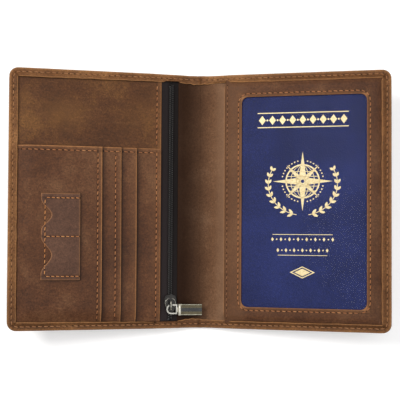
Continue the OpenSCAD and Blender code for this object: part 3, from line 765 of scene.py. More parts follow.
# the middle panel's crease at x = -46.9 is darkened as painted shade
panel("card_panel_middle_leather", XL, -44.9, YB, BT, z_middle, 0.7, M_PANEL,
      xr=(-48.1,), yr=(26.7,), wear_and_highlight_fn=lambda x, y: np.maximum(edge_wear_and_highlight(right=-44.9, top=BT, w=1.0, amt=1.2)(x, y), 0.10 * np.exp(-((y - 27.9) / 1.0) ** 2)),
      tonefn=lambda x, y: painted_shadow_right_of(-55.6, 1.9, 0.92)(x, y) - 0.22 * sstep((x + 54.2) / 3) + 0.35 * np.exp(-((x + 46.9) / 0.5) ** 2),
      xl=(-55.6,), body="left_cover", replaces=["card_panel_middle"], slot="panel_leather")
panel("card_panel_front_leather", XL, -55.6, YB, BT, z_front, 0.7, M_PANEL,
      xr=(-57.9,), yr=(26.7,), wear_and_highlight_fn=lambda x, y: np.maximum(edge_wear_and_highlight(right=-55.6, top=BT, w=1.1, amt=1.3)(x, y),
                                     0.10 * np.exp(-((y - 27.9) / 1.0) ** 2) + 0.08 * np.exp(-((x + 56.6) / 1.5) ** 2)),
      tonefn=sim_shade, xl=(-67.5,), yl=(-44.7 + SY, 3.7 + SY), body="left_cover", replaces=["card_panel_front"], slot="panel_leather")


def sim_left(y):
    """Left edge of the memory card pocket, with its two thumb notches."""
    y = np.asarray(y, float) - SY
    up = np.clip((0.41 - y) / (0.41 + 16.5), 0, 1)
    dn = np.clip((-19.8 - y) / (40.0 - 19.8), 0, 1)
    return -88.4 + 5.6 * (1 - np.cos(2 * np.pi * up)) / 2 + 5.6 * (1 - np.cos(2 * np.pi * dn)) / 2


panel("memory_card_pocket_leather", -88.4, -67.5, -43.3 + SY, 3.7 + SY, z_sim, 0.66, M_SIM, cell=1.2,
      yr=(1.3 + SY, -19.7 + SY, -41.3 + SY), xfun=lambda X, Y: sim_left(Y) + (X + 88.4) / 20.9 * (-67.5 - sim_left(Y)),
      wear_and_highlight_fn=lambda x, y: np.maximum(0.75 * np.exp(-((x - sim_left(y)) / 0.38) ** 2), edge_wear_and_highlight(top=3.7 + SY, bottom=-43.3 + SY, right=-67.5, w=0.8, amt=0.75)(x, y)),
      tonefn=lambda x, y: 0 * x + 0.02, body="left_cover", replaces=["sim_pocket"], slot="panel_leather")

# ------------------------------------------------------------------ lining over the spine
def z_lining(x, y):
    z = np.interp(x, [-12.9, -11, -8.5, -5.6, -2.5, 1.5, 5.0, 8.0, 11.0, 13.2, 14.5, 15.0],
                  [3.45, 3.35, 2.95, 2.4, 2.08, 2.05, 2.3, 2.9, 3.9, 4.75, 5.1, 5.1])
    z = z + 0.07 * wob(x, y, 1.1, 6.0) * sstep((np.abs(x) - 1) / 4)
    k = sstep((np.abs(y) - (HY - 8.6)) / 3.2)
    low = np.interp(x, [-12.9, -9.2, -8.4, -7, 5, 6.0, 15], [3.08, 3.08, 2.9, 2.05, 2.05, 2.5, 2.55])
    return z * (1 - k) + np.maximum(np.minimum(z, flap_top(x, y) - 1.02), np.minimum(z, low)) * k


# Painted shade on the lining, darkest by the zip, turning into painted light towards the passport panel.
def lining_painted_shading(x, y):
    return np.interp(x, [-12.9, -9, -5, -1, 3, 7, 11, 14.2], [0.90, 0.86, 0.78, 0.62, 0.34, 0.04, -0.32, -0.45])


def lining_piece(name, x0, x1, blend, rep, wear_and_highlight):
    xs = np.array(sorted(set(np.round(np.concatenate([np.linspace(x0, x1, 26), np.array([x0 + 0.25, x1 - 0.25])]), 4))))
    ys = spaced(-HY + 2.0, HY - 2.0, 2.4)
    X, Y = np.meshgrid(xs, ys, indexing="ij")
    nx, ny = X.shape
    Z = z_lining(X, Y)
    drop = np.zeros_like(Z)
    if x0 < -5:
        drop[0, :] = 0.2
    if x1 > 5:
        drop[-1, :] = 0.25
    n = nx * ny
    under = np.where(X > 6, 2.25 + (np.minimum(Z, 2.9) - 2.25) * 0, Z - 0.65)
    under = np.where(X > 6, np.minimum(Z - 0.65, np.interp(X, [6, 9, 13, 15], [2.0, 3.0, 4.3, 4.45])), Z - 0.65)
    V = np.concatenate([np.stack([X.ravel(), Y.ravel(), (Z - drop).ravel()], 1),
                        np.stack([X.ravel(), Y.ravel(), under.ravel()], 1)])
    F = grid_faces(nx, ny) + grid_faces(nx, ny, n, True)
    ring = ring_index(nx, ny)
    for k in range(len(ring)):
        a, b = ring[k], ring[(k + 1) % len(ring)]
        F.append((a, a + n, b + n, b))
    return make(name, V, F, M_LINING, wear_and_highlight=wear_and_highlight(V[:, 0]), tone=lining_painted_shading(V[:, 0], V[:, 1]), blend=blend,
                replaces=rep, slot="lining_leather")


lining_piece("spine_lining_left", -12.9, 0.0, LEFT_BLEND, ["zip_facing"],
             lambda x: 0.25 * np.exp(-((x + 12.9) / 0.4) ** 2))
lining_piece("spine_lining_right", 0.0, 14.95, RIGHT_BLEND, ["spine_lining"],
             lambda x: 0.75 * np.exp(-((x - 14.8) / 0.45) ** 2))

# ------------------------------------------------------------------ zip
def tape(name, x0, x1, node):
    def top(x, y):
        return 2.85 + 0.05 * wob(x * 2, y, 1.0, 2.0) + 0.10 * np.exp(-((np.abs(x + 17) - 2.0) / 0.35) ** 2)
    return panel(name, x0, x1, -HY + 2.4, HY - 2.4, top, 0.4, M_TAPE, cell=0.9 if x1 - x0 < 9 else 1.4,
                 tonefn=lambda x, y: 0.11 * sstep((-17.5 - x) / 2), bulge=0.03, body="left_cover", replaces=[node], slot="zip_tape")


tape("zip_tape_left_cloth", -30.5, -17.35, "zip_tape_left")
tape("zip_tape_right_cloth", -16.65, -9.0, "zip_tape_right")


def capsules(items, seg=8):
    """Short round-ended bars: (start, end, radius across, radius up, arch)."""
    V, F, R = [], [], []
    for k0, (p, q, ra, ru, arch) in enumerate(items):
        p, q = np.array(p, float), np.array(q, float)
        d = q - p
        L = np.linalg.norm(d)
        d /= L
        side = np.cross([0, 0, 1], d)
        side /= np.linalg.norm(side)
        up = np.cross(d, side)
        base = len(V)
        st = [(0.0, 0.0), (0.05, 0.62), (0.18, 0.94), (0.5, 1.0), (0.82, 0.94), (0.95, 0.62), (1.0, 0.0)]
        for u, k in st:
            c = p + d * L * u + up * arch * (1 - (2 * u - 1) ** 2)
            if k == 0:
                V.append(c)
                R.append((u * L + 3.7 * k0, 0, 0))
            else:
                for s in range(seg):
                    a = 2 * math.pi * s / seg
                    V.append(c + side * math.cos(a) * ra * k + up * math.sin(a) * ru * k)
                    R.append((u * L + 3.7 * k0, a / 2 / math.pi * 2.0, 0))
        rings = [[base]] + [[base + 1 + r * seg + s for s in range(seg)] for r in range(5)] + [[base + 1 + 5 * seg]]
        for s in range(seg):
            t = (s + 1) % seg
            F.append((rings[0][0], rings[1][t], rings[1][s]))
            for r in range(1, 5):
                F.append((rings[r][s], rings[r][t], rings[r + 1][t], rings[r + 1][s]))
            F.append((rings[5][s], rings[5][t], rings[6][0]))
    return np.array(V), F, np.array(R)


for side, nm in ((-1, "left"), (1, "right")):
    items = []
    pitch = 1.2
    for k in range(int(133 / pitch)):
        y = -66.3 + k * pitch + (0.6 if side > 0 else 0)
        if y > 66.3:
            break
        items.append(((-17 + side * 1.62, y + side * 0.10, 3.02), (-17 - side * 0.30, y - side * 0.08, 3.30), 0.31, 0.40, 0.34))
    V, F, _ = capsules(items, 8)
    # painted glint on the top of each tooth's outer turn
    painted_glint = 0.9 * np.exp(-((np.abs(V[:, 0] + 17) - 1.0) / 0.19) ** 2) * np.clip((V[:, 2] - 3.55) / 0.25, 0, 1)
    make(f"zip_coil_{nm}_teeth", V, F, M_COIL, wear_and_highlight=painted_glint, body="left_cover", replaces=[f"zip_coil_{nm}"], slot="zip_coil")

# ------------------------------------------------------------------ right cover
WX0, WX1, WY0, WY1, WR = 24.5, 93.0, -59.0, 58.2, 3.6
FR, FBR, FTR = HX - 5.25, -HY + 4.5, HY - 4.7


def z_passport(x, y):
    D = np.minimum(np.minimum(FR - x, y - FBR), FTR - y)
    top = 6.6 + 0.08 * wob(x, y, 1.1, 8.0)
    z = 3.45 + (top - 3.45) * sstep((D + 2.7) / 5.6)
    z = z - 0.75 * sstep((19.5 - x) / 4.4) * sstep((D + 1) / 6)          # the free edge dips towards the opening
    dw = np.maximum(np.maximum(WX0 - x, x - WX1), np.maximum(WY0 - y, y - WY1))
    z = z - 0.13 * np.exp(-((dw - 1.8) / 0.55) ** 2) - 0.16 * np.exp(-(dw / 0.5) ** 2)
    return z


def passport_frame():
    """The leather frame round the window: loops from the window's edge out to the tucked edge."""
    x0, x1, y0, y1 = 15.05, HX - 2.8, -HY + 2.8, HY - 2.8
    nseg, narc = {"h": 34, "v": 56}, 6
    inner, outer = [], []
    corners = [((WX1 - WR, WY0 + WR), -90, (x1, y0)), ((WX1 - WR, WY1 - WR), 0, (x1, y1)),
               ((WX0 + WR, WY1 - WR), 90, (x0, y1)), ((WX0 + WR, WY0 + WR), 180, (x0, y0))]
    starts = [(WX0 + WR, WY0), (WX1, WY0 + WR), (WX1 - WR, WY1), (WX0, WY1 - WR)]
    ends = [(WX1 - WR, WY0), (WX1, WY1 - WR), (WX0 + WR, WY1), (WX0, WY0 + WR)]
    ostart = [(x0, y0), (x1, y0), (x1, y1), (x0, y1)]
    for s in range(4):
        k = nseg["h" if s % 2 == 0 else "v"]
        a, b = np.array(starts[s], float), np.array(ends[s], float)
        oa, ob = np.array(ostart[s], float), np.array(ostart[(s + 1) % 4], float)
        la, lb = (a - oa), (ob - b)
        for i in range(k):
            t = i / k
            p = a + (b - a) * t
            inner.append(p)
            along = (ob - oa) / np.linalg.norm(ob - oa)
            pa, pb = np.dot(a - oa, along), np.dot(b - oa, along)
            full = np.linalg.norm(ob - oa)
            pos = np.interp(t, [0, 0.12, 0.88, 1], [min(pa, 3.0), pa + (pb - pa) * 0.12, pa + (pb - pa) * 0.88, max(pb, full - 3.0)])
            outer.append(oa + along * pos)
        c, ang, oc = corners[s]
        oc = np.array(oc, float)
        prev_dir = (ob - oa) / np.linalg.norm(ob - oa)
        nxt = np.array(ostart[(s + 2) % 4], float)
        next_dir = (nxt - ob) / np.linalg.norm(nxt - ob)
        for i in range(narc):
            t = i / narc
            th = math.radians(ang + 90 * t)
            inner.append(np.array([c[0] + WR * math.cos(th), c[1] + WR * math.sin(th)]))
            outer.append(oc - prev_dir * 3.0 * (1 - 2 * t) if t < 0.5 else oc + next_dir * 3.0 * (2 * t - 1))
    inner, outer = np.array(inner), np.array(outer)
    m = len(inner)
    S = [0, 0.015, 0.035, 0.06, 0.09, 0.12, 0.15, 0.18, 0.22, 0.28, 0.36, 0.45, 0.54, 0.62, 0.7, 0.77, 0.84, 0.9, 0.95, 0.98, 1.0]
    V = []
    for s in S:
        P = inner + (outer - inner) * s
        z = z_passport(P[:, 0], P[:, 1])
        if s in (0, 1.0):
            z = z - 0.14
        V.append(np.column_stack([P, z]))
    for s in reversed(S):
        P = inner + (outer - inner) * s
        V.append(np.column_stack([P, z_passport(P[:, 0], P[:, 1]) - 0.85]))
    F = []
    R = len(V)
    for k in range(R):
        for i in range(m):
            j = (i + 1) % m
            a, b = k * m, ((k + 1) % R) * m
            F.append((a + i, b + i, b + j, a + j))
    V = np.concatenate(V)
    x, y = V[:, 0], V[:, 1]
    dw = np.maximum(np.maximum(WX0 - x, x - WX1), np.maximum(WY0 - y, y - WY1))
    wear_and_highlight = 0.8 * np.exp(-(np.clip(dw, 0, None) / 0.35) ** 2)
    wear_and_highlight = np.maximum(wear_and_highlight, 0.16 * np.exp(-((dw - 1.2) / 1.2) ** 2))
    # tone: painted shade in the gap at the panel's left edge and along the stitch grooves of the window and the panel
    # edge; the strip towards the opening lighter, a band near x = 98 and the part right of x = 40 a little darker
    tone = (-0.40 * sstep((30 - x) / 6) + 0.14 * np.exp(-((x - 98.0) / 2.0) ** 2) + 0.75 * np.exp(-(np.clip(x - 14.9, 0, None) / 0.35) ** 2)
            + 0.06 * (x > 40) + 0.3 * np.exp(-((dw - 1.8) / 0.5) ** 2) + 0.2 * np.exp(-((x - 16.25) / 0.4) ** 2))
    return make("passport_panel_leather", V, F, M_PANEL, wear_and_highlight=wear_and_highlight, tone=tone, body="right_cover",
                replaces=["passport_panel"], slot="panel_leather")


passport_frame()

# ------------------------------------------------------------------ stitches
def walk(points, pitch, length, z, skip=0.0):
    """Stitch start and end points along a polyline."""
    P = np.array(points, float)
    seg = np.linalg.norm(np.diff(P, axis=0), axis=1)
    S = np.concatenate([[0], np.cumsum(seg)])
    n = int((S[-1] - 2 * skip) // pitch)
    if n < 1:
        return []
    off = (S[-1] - n * pitch) / 2 + (pitch - length) / 2
    out = []
    for k in range(n):
        a, b = off + k * pitch, off + k * pitch + length
        A = [np.interp(a, S, P[:, i]) for i in (0, 1)]
        B = [np.interp(b, S, P[:, i]) for i in (0, 1)]
        out.append((A, B))
    return out


def stitches(name, rows, zfun, blend=None, body=None, replaces=(), width=0.24, high=0.21, arch=0.15, below=False, sink=0.04, quiet=False,
             mat=None):
    """Each stitch is its own arched strand that dives into a needle hole at both ends."""
    items, holes = [], []
    rs = np.random.RandomState(11 + len(name))
    for r in rows:
        for A, B in r:
            A, B = np.array(A), np.array(B)
            d = (B - A) / np.linalg.norm(B - A)
            jit = rs.uniform(-0.07, 0.07, 2)
            nn = np.array([-d[1], d[0]])
            A2, B2 = A + nn * (0.10 + jit[0]), B - nn * (0.10 - jit[1])      # slightly slanted, as a lockstitch is
            za, zb = float(zfun(np.array([A2[0]]), np.array([A2[1]]))[0]), float(zfun(np.array([B2[0]]), np.array([B2[1]]))[0])
            if below:
                items.append(((B2[0], B2[1], zb + sink), (A2[0], A2[1], za + sink), width, high, -arch - 0.05))
            else:
                items.append(((A2[0], A2[1], za - sink), (B2[0], B2[1], zb - sink), width, high, arch))
            for c, zc in ((A - d * 0.2, za), (B + d * 0.2, zb)):
                holes.append((c[0], c[1], zc))
    V, F, R = capsules(items, 8)
    o = make(name, V, F, mat or (M_THREAD_Q if quiet else M_THREAD), blend=blend, body=body, replaces=replaces, slot="thread", rco=R)
    r1, r2 = (0.15, 0.24) if quiet else (0.19, 0.31)
    HV, HF = [], []
    for x, y, z in holes:
        b = len(HV)
        s = -1 if below else 1
        HV.append((x, y, z + s * 0.045))
        for k in range(8):
            a = 2 * math.pi * k / 8 * s
            HV.append((x + r1 * math.cos(a), y + r1 * math.sin(a), z + s * 0.05))
        for k in range(8):
            a = 2 * math.pi * k / 8 * s
            HV.append((x + r2 * math.cos(a), y + r2 * math.sin(a), z - s * 0.06))
        for k in range(8):
            q = (k + 1) % 8
            HF += [(b, b + 1 + k, b + 1 + q), (b + 1 + k, b + 9 + k, b + 9 + q, b + 1 + q)]
        HF.append(tuple(b + 9 + k for k in reversed(range(8))))
    make(name + "_holes", HV, HF, M_HOLE_Q if quiet else M_HOLE, blend=blend, body=body, slot="thread")
    return o


def border_path(side, inset, x_in):
    """The row round a half's three free edges, from the middle over the top to the bottom."""
    r = 5.0 - inset
    x0, y1 = -HX + inset, HY - inset
    pts = [(x_in, y1), (x0 + r, y1)]
    pts += [(x0 + r - r * math.sin(math.radians(a)), y1 - r + r * math.cos(math.radians(a))) for a in (22.5, 45, 67.5)]
    pts += [(x0, y1 - r), (x0, -y1 + r)]
    pts += [(x0 + r - r * math.cos(math.radians(a)), -y1 + r - r * math.sin(math.radians(a))) for a in (22.5, 45, 67.5)]
    pts += [(x0 + r, -y1), (x_in, -y1)]
    return [(-x * side * 1.0, y) for x, y in pts] if side > 0 else pts


for side, nm, bl, rep in ((-1, "left", LEFT_BLEND, ["left_border_thread"]), (1, "right", RIGHT_BLEND, ["right_border_thread", "spine_thread"])):
    rows = [walk(border_path(side, 2.35, -0.2), 3.2, 2.3, 0)]
    stitches(f"{nm}_border_stitches", rows, lambda x, y: flap_top(x, y) - 0.15, blend=bl, replaces=rep, width=0.2, quiet=True)
    stitches(f"{nm}_border_stitches_outside", rows, lambda x, y: 0 * x, blend=bl, below=True, high=0.16, arch=0.10, sink=0.06, quiet=True)


def line(x0, y0, x1, y1):
    return [(x0, y0), (x1, y1)]


stitches("pocket_top_stitches", [walk(line(-100.9, 26.7, -56.2, 26.7), 3.2, 2.15, 0)], z_front, body="left_cover",
         replaces=["pocket_top_thread"])
stitches("pocket_top_stitches_middle", [walk(line(-55.2, 26.7, -45.2, 26.7), 3.2, 2.15, 0)], z_middle, body="left_cover")
stitches("pocket_top_stitches_lower", [walk(line(-44.6, 26.7, -36.8, 26.7), 3.2, 2.15, 0)], z_lower, body="left_cover")
stitches("pocket_top_stitches_base", [walk(line(-36.0, 26.7, -26.4, 26.7), 3.1, 2.15, 0)], z_base, body="left_cover")
stitches("front_edge_stitches", [walk(line(-57.9, -66.5, -57.9, 26.2), 2.97, 2.05, 0)], z_front, body="left_cover",
         replaces=["front_edge_thread"])
stitches("middle_edge_stitches", [walk(line(-48.1, -66.5, -48.1, 26.2), 3.1, 2.1, 0)], z_middle, body="left_cover",
         replaces=["middle_edge_thread"])
stitches("ticket_edge_stitches", [walk(line(-25.3, 30.0, -25.3, 66.0), 3.1, 2.1, 0)], z_ticket, body="left_cover",
         replaces=["ticket_edge_thread"])
stitches("ticket_edge_stitches_lower", [walk(line(-25.3, -66.4, -25.3, 28.4), 3.1, 2.1, 0)], z_base, body="left_cover")


def z_sim_or_front(x, y):
    return np.where((x > sim_left(y)) & (y < 3.7 + SY) & (y > -43.3 + SY), z_sim(x, y), z_front(x, y))


stitches("memory_card_stitches", [walk(line(-85.9, r + SY, -67.6, r + SY), 2.6, 1.95, 0) for r in (1.3, -19.7, -41.3)]
         + [walk(line(-86.3, -41.6 + SY, -86.3, 1.6 + SY), 2.95, 2.1, 0)],
         z_sim_or_front, body="left_cover", replaces=["sim_thread"], mat=M_THREAD_B)


def window_path(g):
    r = WR + g
    x0, x1, y0, y1 = WX0 - g, WX1 + g, WY0 - g, WY1 + g
    pts = []
    for cx, cy, a0 in ((x1 - r, y0 + r, -90), (x1 - r, y1 - r, 0), (x0 + r, y1 - r, 90), (x0 + r, y0 + r, 180)):
        pts += [(cx + r * math.cos(math.radians(a0 + a)), cy + r * math.sin(math.radians(a0 + a))) for a in (0, 22.5, 45, 67.5, 90)]
    return pts + [pts[0]]


stitches("window_stitches", [walk(window_path(1.8), 3.0, 2.1, 0)], z_passport, body="right_cover", replaces=["window_thread"])
stitches("panel_edge_stitches", [walk(line(16.25, -66.3, 16.25, 66.0), 3.05, 1.85, 0)], z_passport, body="right_cover",
         replaces=["panel_edge_thread"], width=0.24, high=0.18, mat=M_THREAD_D)

# ------------------------------------------------------------------ booklet emblem
def foil():
    """A generic design of our own: a compass over a globe, sprays of leaves, and plain bands in place of any wording."""
    V, F = [], []
    z0, z1 = 5.2, 5.27

    def add(loop):
        b, n = len(V), len(loop)
        V.extend([(x, y, z1) for x, y in loop] + [(x, y, z0) for x, y in loop])
        F.append(tuple(b + i for i in range(n)))
        F.append(tuple(b + n + i for i in reversed(range(n))))
        for i in range(n):
            j = (i + 1) % n
            F.append((b + i, b + n + i, b + n + j, b + j))

    def ring(cx, cy, r0, r1, n=48, a0=0.0, a1=360.0):
        closed = a1 - a0 >= 360
        k = n if closed else n + 1
        A = [math.radians(a0 + (a1 - a0) * i / n) for i in range(k)]
        b = len(V)
        for a in A:
            for r, z in ((r0, z1), (r1, z1), (r0, z0), (r1, z0)):
                V.append((cx + r * math.cos(a), cy + r * math.sin(a), z))
        for i in range(n):
            j = (i + 1) % k
            p, q = b + 4 * i, b + 4 * j
            F.extend([(p, p + 1, q + 1, q), (p + 1, p + 3, q + 3, q + 1), (p + 2, p, q, q + 2), (p + 3, p + 2, q + 2, q + 3)])

    def dot(cx, cy, r, n=12):
        add([(cx + r * math.cos(2 * math.pi * i / n), cy + r * math.sin(2 * math.pi * i / n)) for i in range(n)])

    def bar(x0, x1, y0, y1):
        add([(x0, y0), (x1, y0), (x1, y1), (x0, y1)])

    def lozenge(cx, cy, w, h):
        add([(cx - w, cy), (cx, cy - h), (cx + w, cy), (cx, cy + h)])

    def leaf(cx, cy, a, L, W):
        pts = []
        for s in (1, -1):
            for i in range(6):
                t = i / 6 if s > 0 else 1 - i / 6
                px_, py_ = L * t, s * W * math.sin(math.pi * t) ** 0.8
                pts.append((cx + px_ * math.cos(a) - py_ * math.sin(a), cy + px_ * math.sin(a) + py_ * math.cos(a)))
        add(pts)

    X = 58.2
    # band at the top: two rules with lozenges and beads
    bar(X - 25, X + 25, 49.4, 49.9)
    bar(X - 25, X + 25, 41.4, 41.9)
    for k in range(9):
        lozenge(X - 22.4 + 5.6 * k, 45.65, 1.9, 2.6)
    for k in range(8):
        dot(X - 19.6 + 5.6 * k, 45.65, 0.55)
    # globe
    cy = 11.5
    ring(X, cy, 8.7, 9.5, 56)
    for f in (0.38, 0.72):
        for s in (1, -1):
            pts_o, pts_i = [], []
            for i in range(17):
                a = math.radians(-90 + 180 * i / 16)
                pts_o.append((X + s * (9 * f * math.cos(a) + 0.18), cy + 8.8 * math.sin(a)))
                pts_i.append((X + s * (9 * f * math.cos(a) - 0.18), cy + 8.8 * math.sin(a)))
            loop = pts_o + pts_i[::-1]
            add(loop if s > 0 else loop[::-1])
    for y in (-5.4, -2.7, 2.7, 5.4):
        h = math.sqrt(8.8 ** 2 - y * y)
        bar(X - h, X + h, cy + y - 0.17, cy + y + 0.17)
    # compass points
    for k in range(8):
        a = math.radians(45 * k)
        L = 16.4 if k % 2 == 0 else 12.6
        w = 1.9 if k % 2 == 0 else 1.3
        p = [(L, 0), (2.6, w), (1.2, 0), (2.6, -w)]
        add([(X + u * math.cos(a) - v * math.sin(a), cy + u * math.sin(a) + v * math.cos(a)) for u, v in reversed(p)][::-1])
    ring(X, cy, 1.0, 2.1, 20)
    # beads round the globe
    for k in range(40):
        a = math.radians(9 * k + 4.5)
        if min(abs((math.degrees(a) % 90)), abs(90 - (math.degrees(a) % 90))) > 8:
            dot(X + 11.4 * math.cos(a), cy + 11.4 * math.sin(a), 0.42, 8)
    # two sprays of leaves
    for s in (1, -1):
        for i in range(9):
            t = math.radians(-74 + 12.5 * i)
            bx, by = X + s * 19.0 * math.cos(t), cy - 1.5 + 17.2 * math.sin(t)
            tang = math.atan2(17.2 * math.cos(t), -s * 19.0 * math.sin(t))
            for q in (0.62, -0.62):
                leaf(bx, by, tang + q, 3.6 - 0.12 * i, 0.72)
        ts = [math.radians(-80 + 108 * i / 20) for i in range(21)]
        o_ = [(X + s * 19.2 * math.cos(t), cy - 1.5 + 17.4 * math.sin(t)) for t in ts]
        i_ = [(X + s * 18.8 * math.cos(t), cy - 1.5 + 17.0 * math.sin(t)) for t in ts]
        loop = o_ + i_[::-1]
        add(loop if s > 0 else loop[::-1])
    # two beaded lines and a small mark below
    for y, half in ((-20.5, 16.5), (-26.5, 13.5)):
        n = int(half * 2 / 2.2)
        for k in range(n + 1):
            x = X - half + 2 * half * k / n
            (lozenge(x, y, 0.75, 1.15) if k % 2 == 0 else dot(x, y, 0.42, 8))
    bar(X - 16.5, X + 16.5, -18.0, -17.7)
    bar(X - 13.5, X + 13.5, -29.4, -29.1)
    for w in (4.6, 2.9):
        b = [(X - w * 1.5, -38.6), (X, -38.6 - w * 0.72), (X + w * 1.5, -38.6), (X, -38.6 + w * 0.72)]
        add(b) if w < 3 else [add([b[i], b[(i + 1) % 4],
                                   (X + (b[(i + 1) % 4][0] - X) * 0.82, -38.6 + (b[(i + 1) % 4][1] + 38.6) * 0.82),
                                   (X + (b[i][0] - X) * 0.82, -38.6 + (b[i][1] + 38.6) * 0.82)]) for i in range(4)]
    V = [(x, y - 0.8, z) for x, y, z in V]
    make("booklet_emblem", V, F, M_FOIL, body="right_cover", replaces=["booklet_foil"], slot="booklet_foil", smooth=False)


foil()

# ------------------------------------------------------------------ booklet
def booklet():
    """Cover boards with a rounded spine at the left, round free corners, and the page block between them."""
    x0, x1, y0, y1 = 15.75, 99.7, -61.9, 61.9
    zb, zt = 2.34, 5.22

    def slab(name, bx0, bx1, by0, by1, za, zc, mat, rep_, slot, r, crown):
        def top(x, y):
            e = np.minimum(np.minimum(x - bx0, bx1 - x), np.minimum(y - by0, by1 - y))
            return zc - crown * np.exp(-np.clip(e, 0, None) / 0.5) + 0.03 * wob(x, y, 0.7, 2.0)
        return panel(name, bx0, bx1, by0, by1, top, zc - za, mat, radii=(0.6, r, r, 0.6), cell=4.0, bulge=0.05,
                     body="right_cover", replaces=rep_, slot=slot)
    slab("booklet_front_board", x0, x1, y0, y1, zt - 0.42, zt, M_BOOK, ["booklet_cover"], "booklet_cover", 3.2, 0.10)
    slab("booklet_back_board", x0, x1, y0, y1, zb, zb + 0.42, M_BOOK, [], "booklet_cover", 3.2, 0.0)
    slab("booklet_page_block", x0 + 0.7, x1 - 0.5, y0 + 0.5, y1 - 0.5, zb + 0.44, zt - 0.46, M_PAPER, ["booklet_pages"],
         "booklet_paper", 2.9, 0.0)
    n, V, F = 9, [], []
    for y in np.linspace(y0 + 0.1, y1 - 0.1, 34):
        for k in range(n):
            t = math.pi * k / (n - 1)
            V.append((x0 + 0.15 - 0.42 * math.sin(t), y, (zb + zt) / 2 + ((zt - zb) / 2 - 0.02) * math.cos(t)))
        for k in range(n):
            t = math.pi * (n - 1 - k) / (n - 1)
            V.append((x0 + 0.45 - 0.36 * math.sin(t), y, (zb + zt) / 2 + ((zt - zb) / 2 - 0.34) * math.cos(t)))
    m = 2 * n
    for i in range(33):
        for k in range(m):
            q = (k + 1) % m
            F.append((i * m + k, (i + 1) * m + k, (i + 1) * m + q, i * m + q))
    F.append(tuple(range(m)))
    F.append(tuple(33 * m + k for k in reversed(range(m))))
    make("booklet_spine", V, F, M_BOOK, body="right_cover", slot="booklet_cover")


booklet()

# ------------------------------------------------------------------ CAD nodes that keep their shape
def keep(node, mat, bevel=0.0, segs=3):
    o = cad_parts[node]
    o.data.materials.clear()
    o.data.materials.append(mat)
    if bevel:
        b = o.modifiers.new("edge", "BEVEL")
        b.width, b.segments, b.limit_method, b.angle_limit = bevel * MM, segs, "ANGLE", math.radians(35)
        b.harden_normals = False
    return o


keep("left_interlining", M_BOARD)
keep("right_interlining", M_BOARD)
keep("zip_pocket_lining", M_BAG)
keep("window_film", M_FILM)
M_BACK = Nodes("pocket_backing")
_tc = M_BACK.mapped(M_BACK.n("ShaderNodeTexCoord").outputs["Object"], scale=(100, 100, 100))
_nz = M_BACK.noise(_tc, 6.0, 5, 0.65)
M_BACK.put(Base_Color=M_BACK.ramp(_nz, [(0.3, lin(44, 29, 20)), (0.7, lin(74, 50, 36))]), Roughness=0.7,
           Normal=M_BACK.bump(_nz, 0.5, 0.0002))
keep("right_lining", M_BACK.m)
keep("slider_body", M_SLIDER, 0.14)
keep("pull_link", M_LINK, 0.24)


def tube(name, pts, r, mat, body, slot, closed=False, seg=8, flat=1.0, world=False):
    """A rod along a path in flat coordinates."""
    P = np.array(pts, float)
    n = len(P)
    V, F = [], []
    for i in range(n):
        a = P[(i - 1) % n] if closed or i else P[0]
        b = P[(i + 1) % n] if closed or i < n - 1 else P[-1]
        d = (b - a) / np.linalg.norm(b - a)
        side = np.cross([0, 0, 1.0], d)
        side /= max(np.linalg.norm(side), 1e-9)
        up = np.cross(d, side)
        k = 1.0 if closed else (0.72 if i in (0, n - 1) else 1.0)
        for s_ in range(seg):
            t = 2 * math.pi * s_ / seg
            V.append(P[i] + side * math.cos(t) * r * k + up * math.sin(t) * r * flat * k)
    for i in range(n if closed else n - 1):
        j = (i + 1) % n
        for s_ in range(seg):
            t = (s_ + 1) % seg
            F.append((i * seg + s_, i * seg + t, j * seg + t, j * seg + s_))
    if not closed:
        F.append(tuple(range(seg - 1, -1, -1)))
        F.append(tuple((n - 1) * seg + k for k in range(seg)))
    return make(name, V, F, mat, body=body, slot=slot, world=world)


# raised rim and rib of the slider, in a lighter copy of the metal as a painted highlight, and the rivet ball that holds
# the ring
rim = []
for k in range(37):
    a = math.radians(-52 + 284 * k / 36)
    rx, ry = 2.9, (2.6 if math.sin(a) > 0 else 3.0)
    rim.append((-17 + rx * math.cos(a), -57.3 + ry * math.sin(a), 4.74))
tube("slider_rim", rim, 0.13, M_SLIDER_HIGHLIGHT, "zip_slider", "slider_metal", flat=0.8)
tube("slider_rib", [(-17, -56.1, 6.96), (-17, -57.6, 7.0), (-17, -59.2, 7.0), (-17, -60.3, 6.9)], 0.40, M_SLIDER_HIGHLIGHT, "zip_slider", "slider_metal", flat=0.45)
items = [((-17, -60.15, 6.95), (-17, -61.0, 6.85), 0.55, 0.3, 0.1)]
_v, _f, _ = capsules(items, 12)
make("slider_rivet", _v, _f, M_COLLAR, body="zip_slider", slot="slider_metal")


def on_pull(P):
    """Pull coordinates to flat ones: the pull lies over the lining with its tip a little up."""
    P = np.asarray(P, float)
    c, s_ = math.cos(math.radians(8)), math.sin(math.radians(8))
    return np.stack([-13.3 + P[:, 0] * c - P[:, 2] * s_, -61.0 + P[:, 1], 5.0 + P[:, 0] * s_ + P[:, 2] * c], 1)


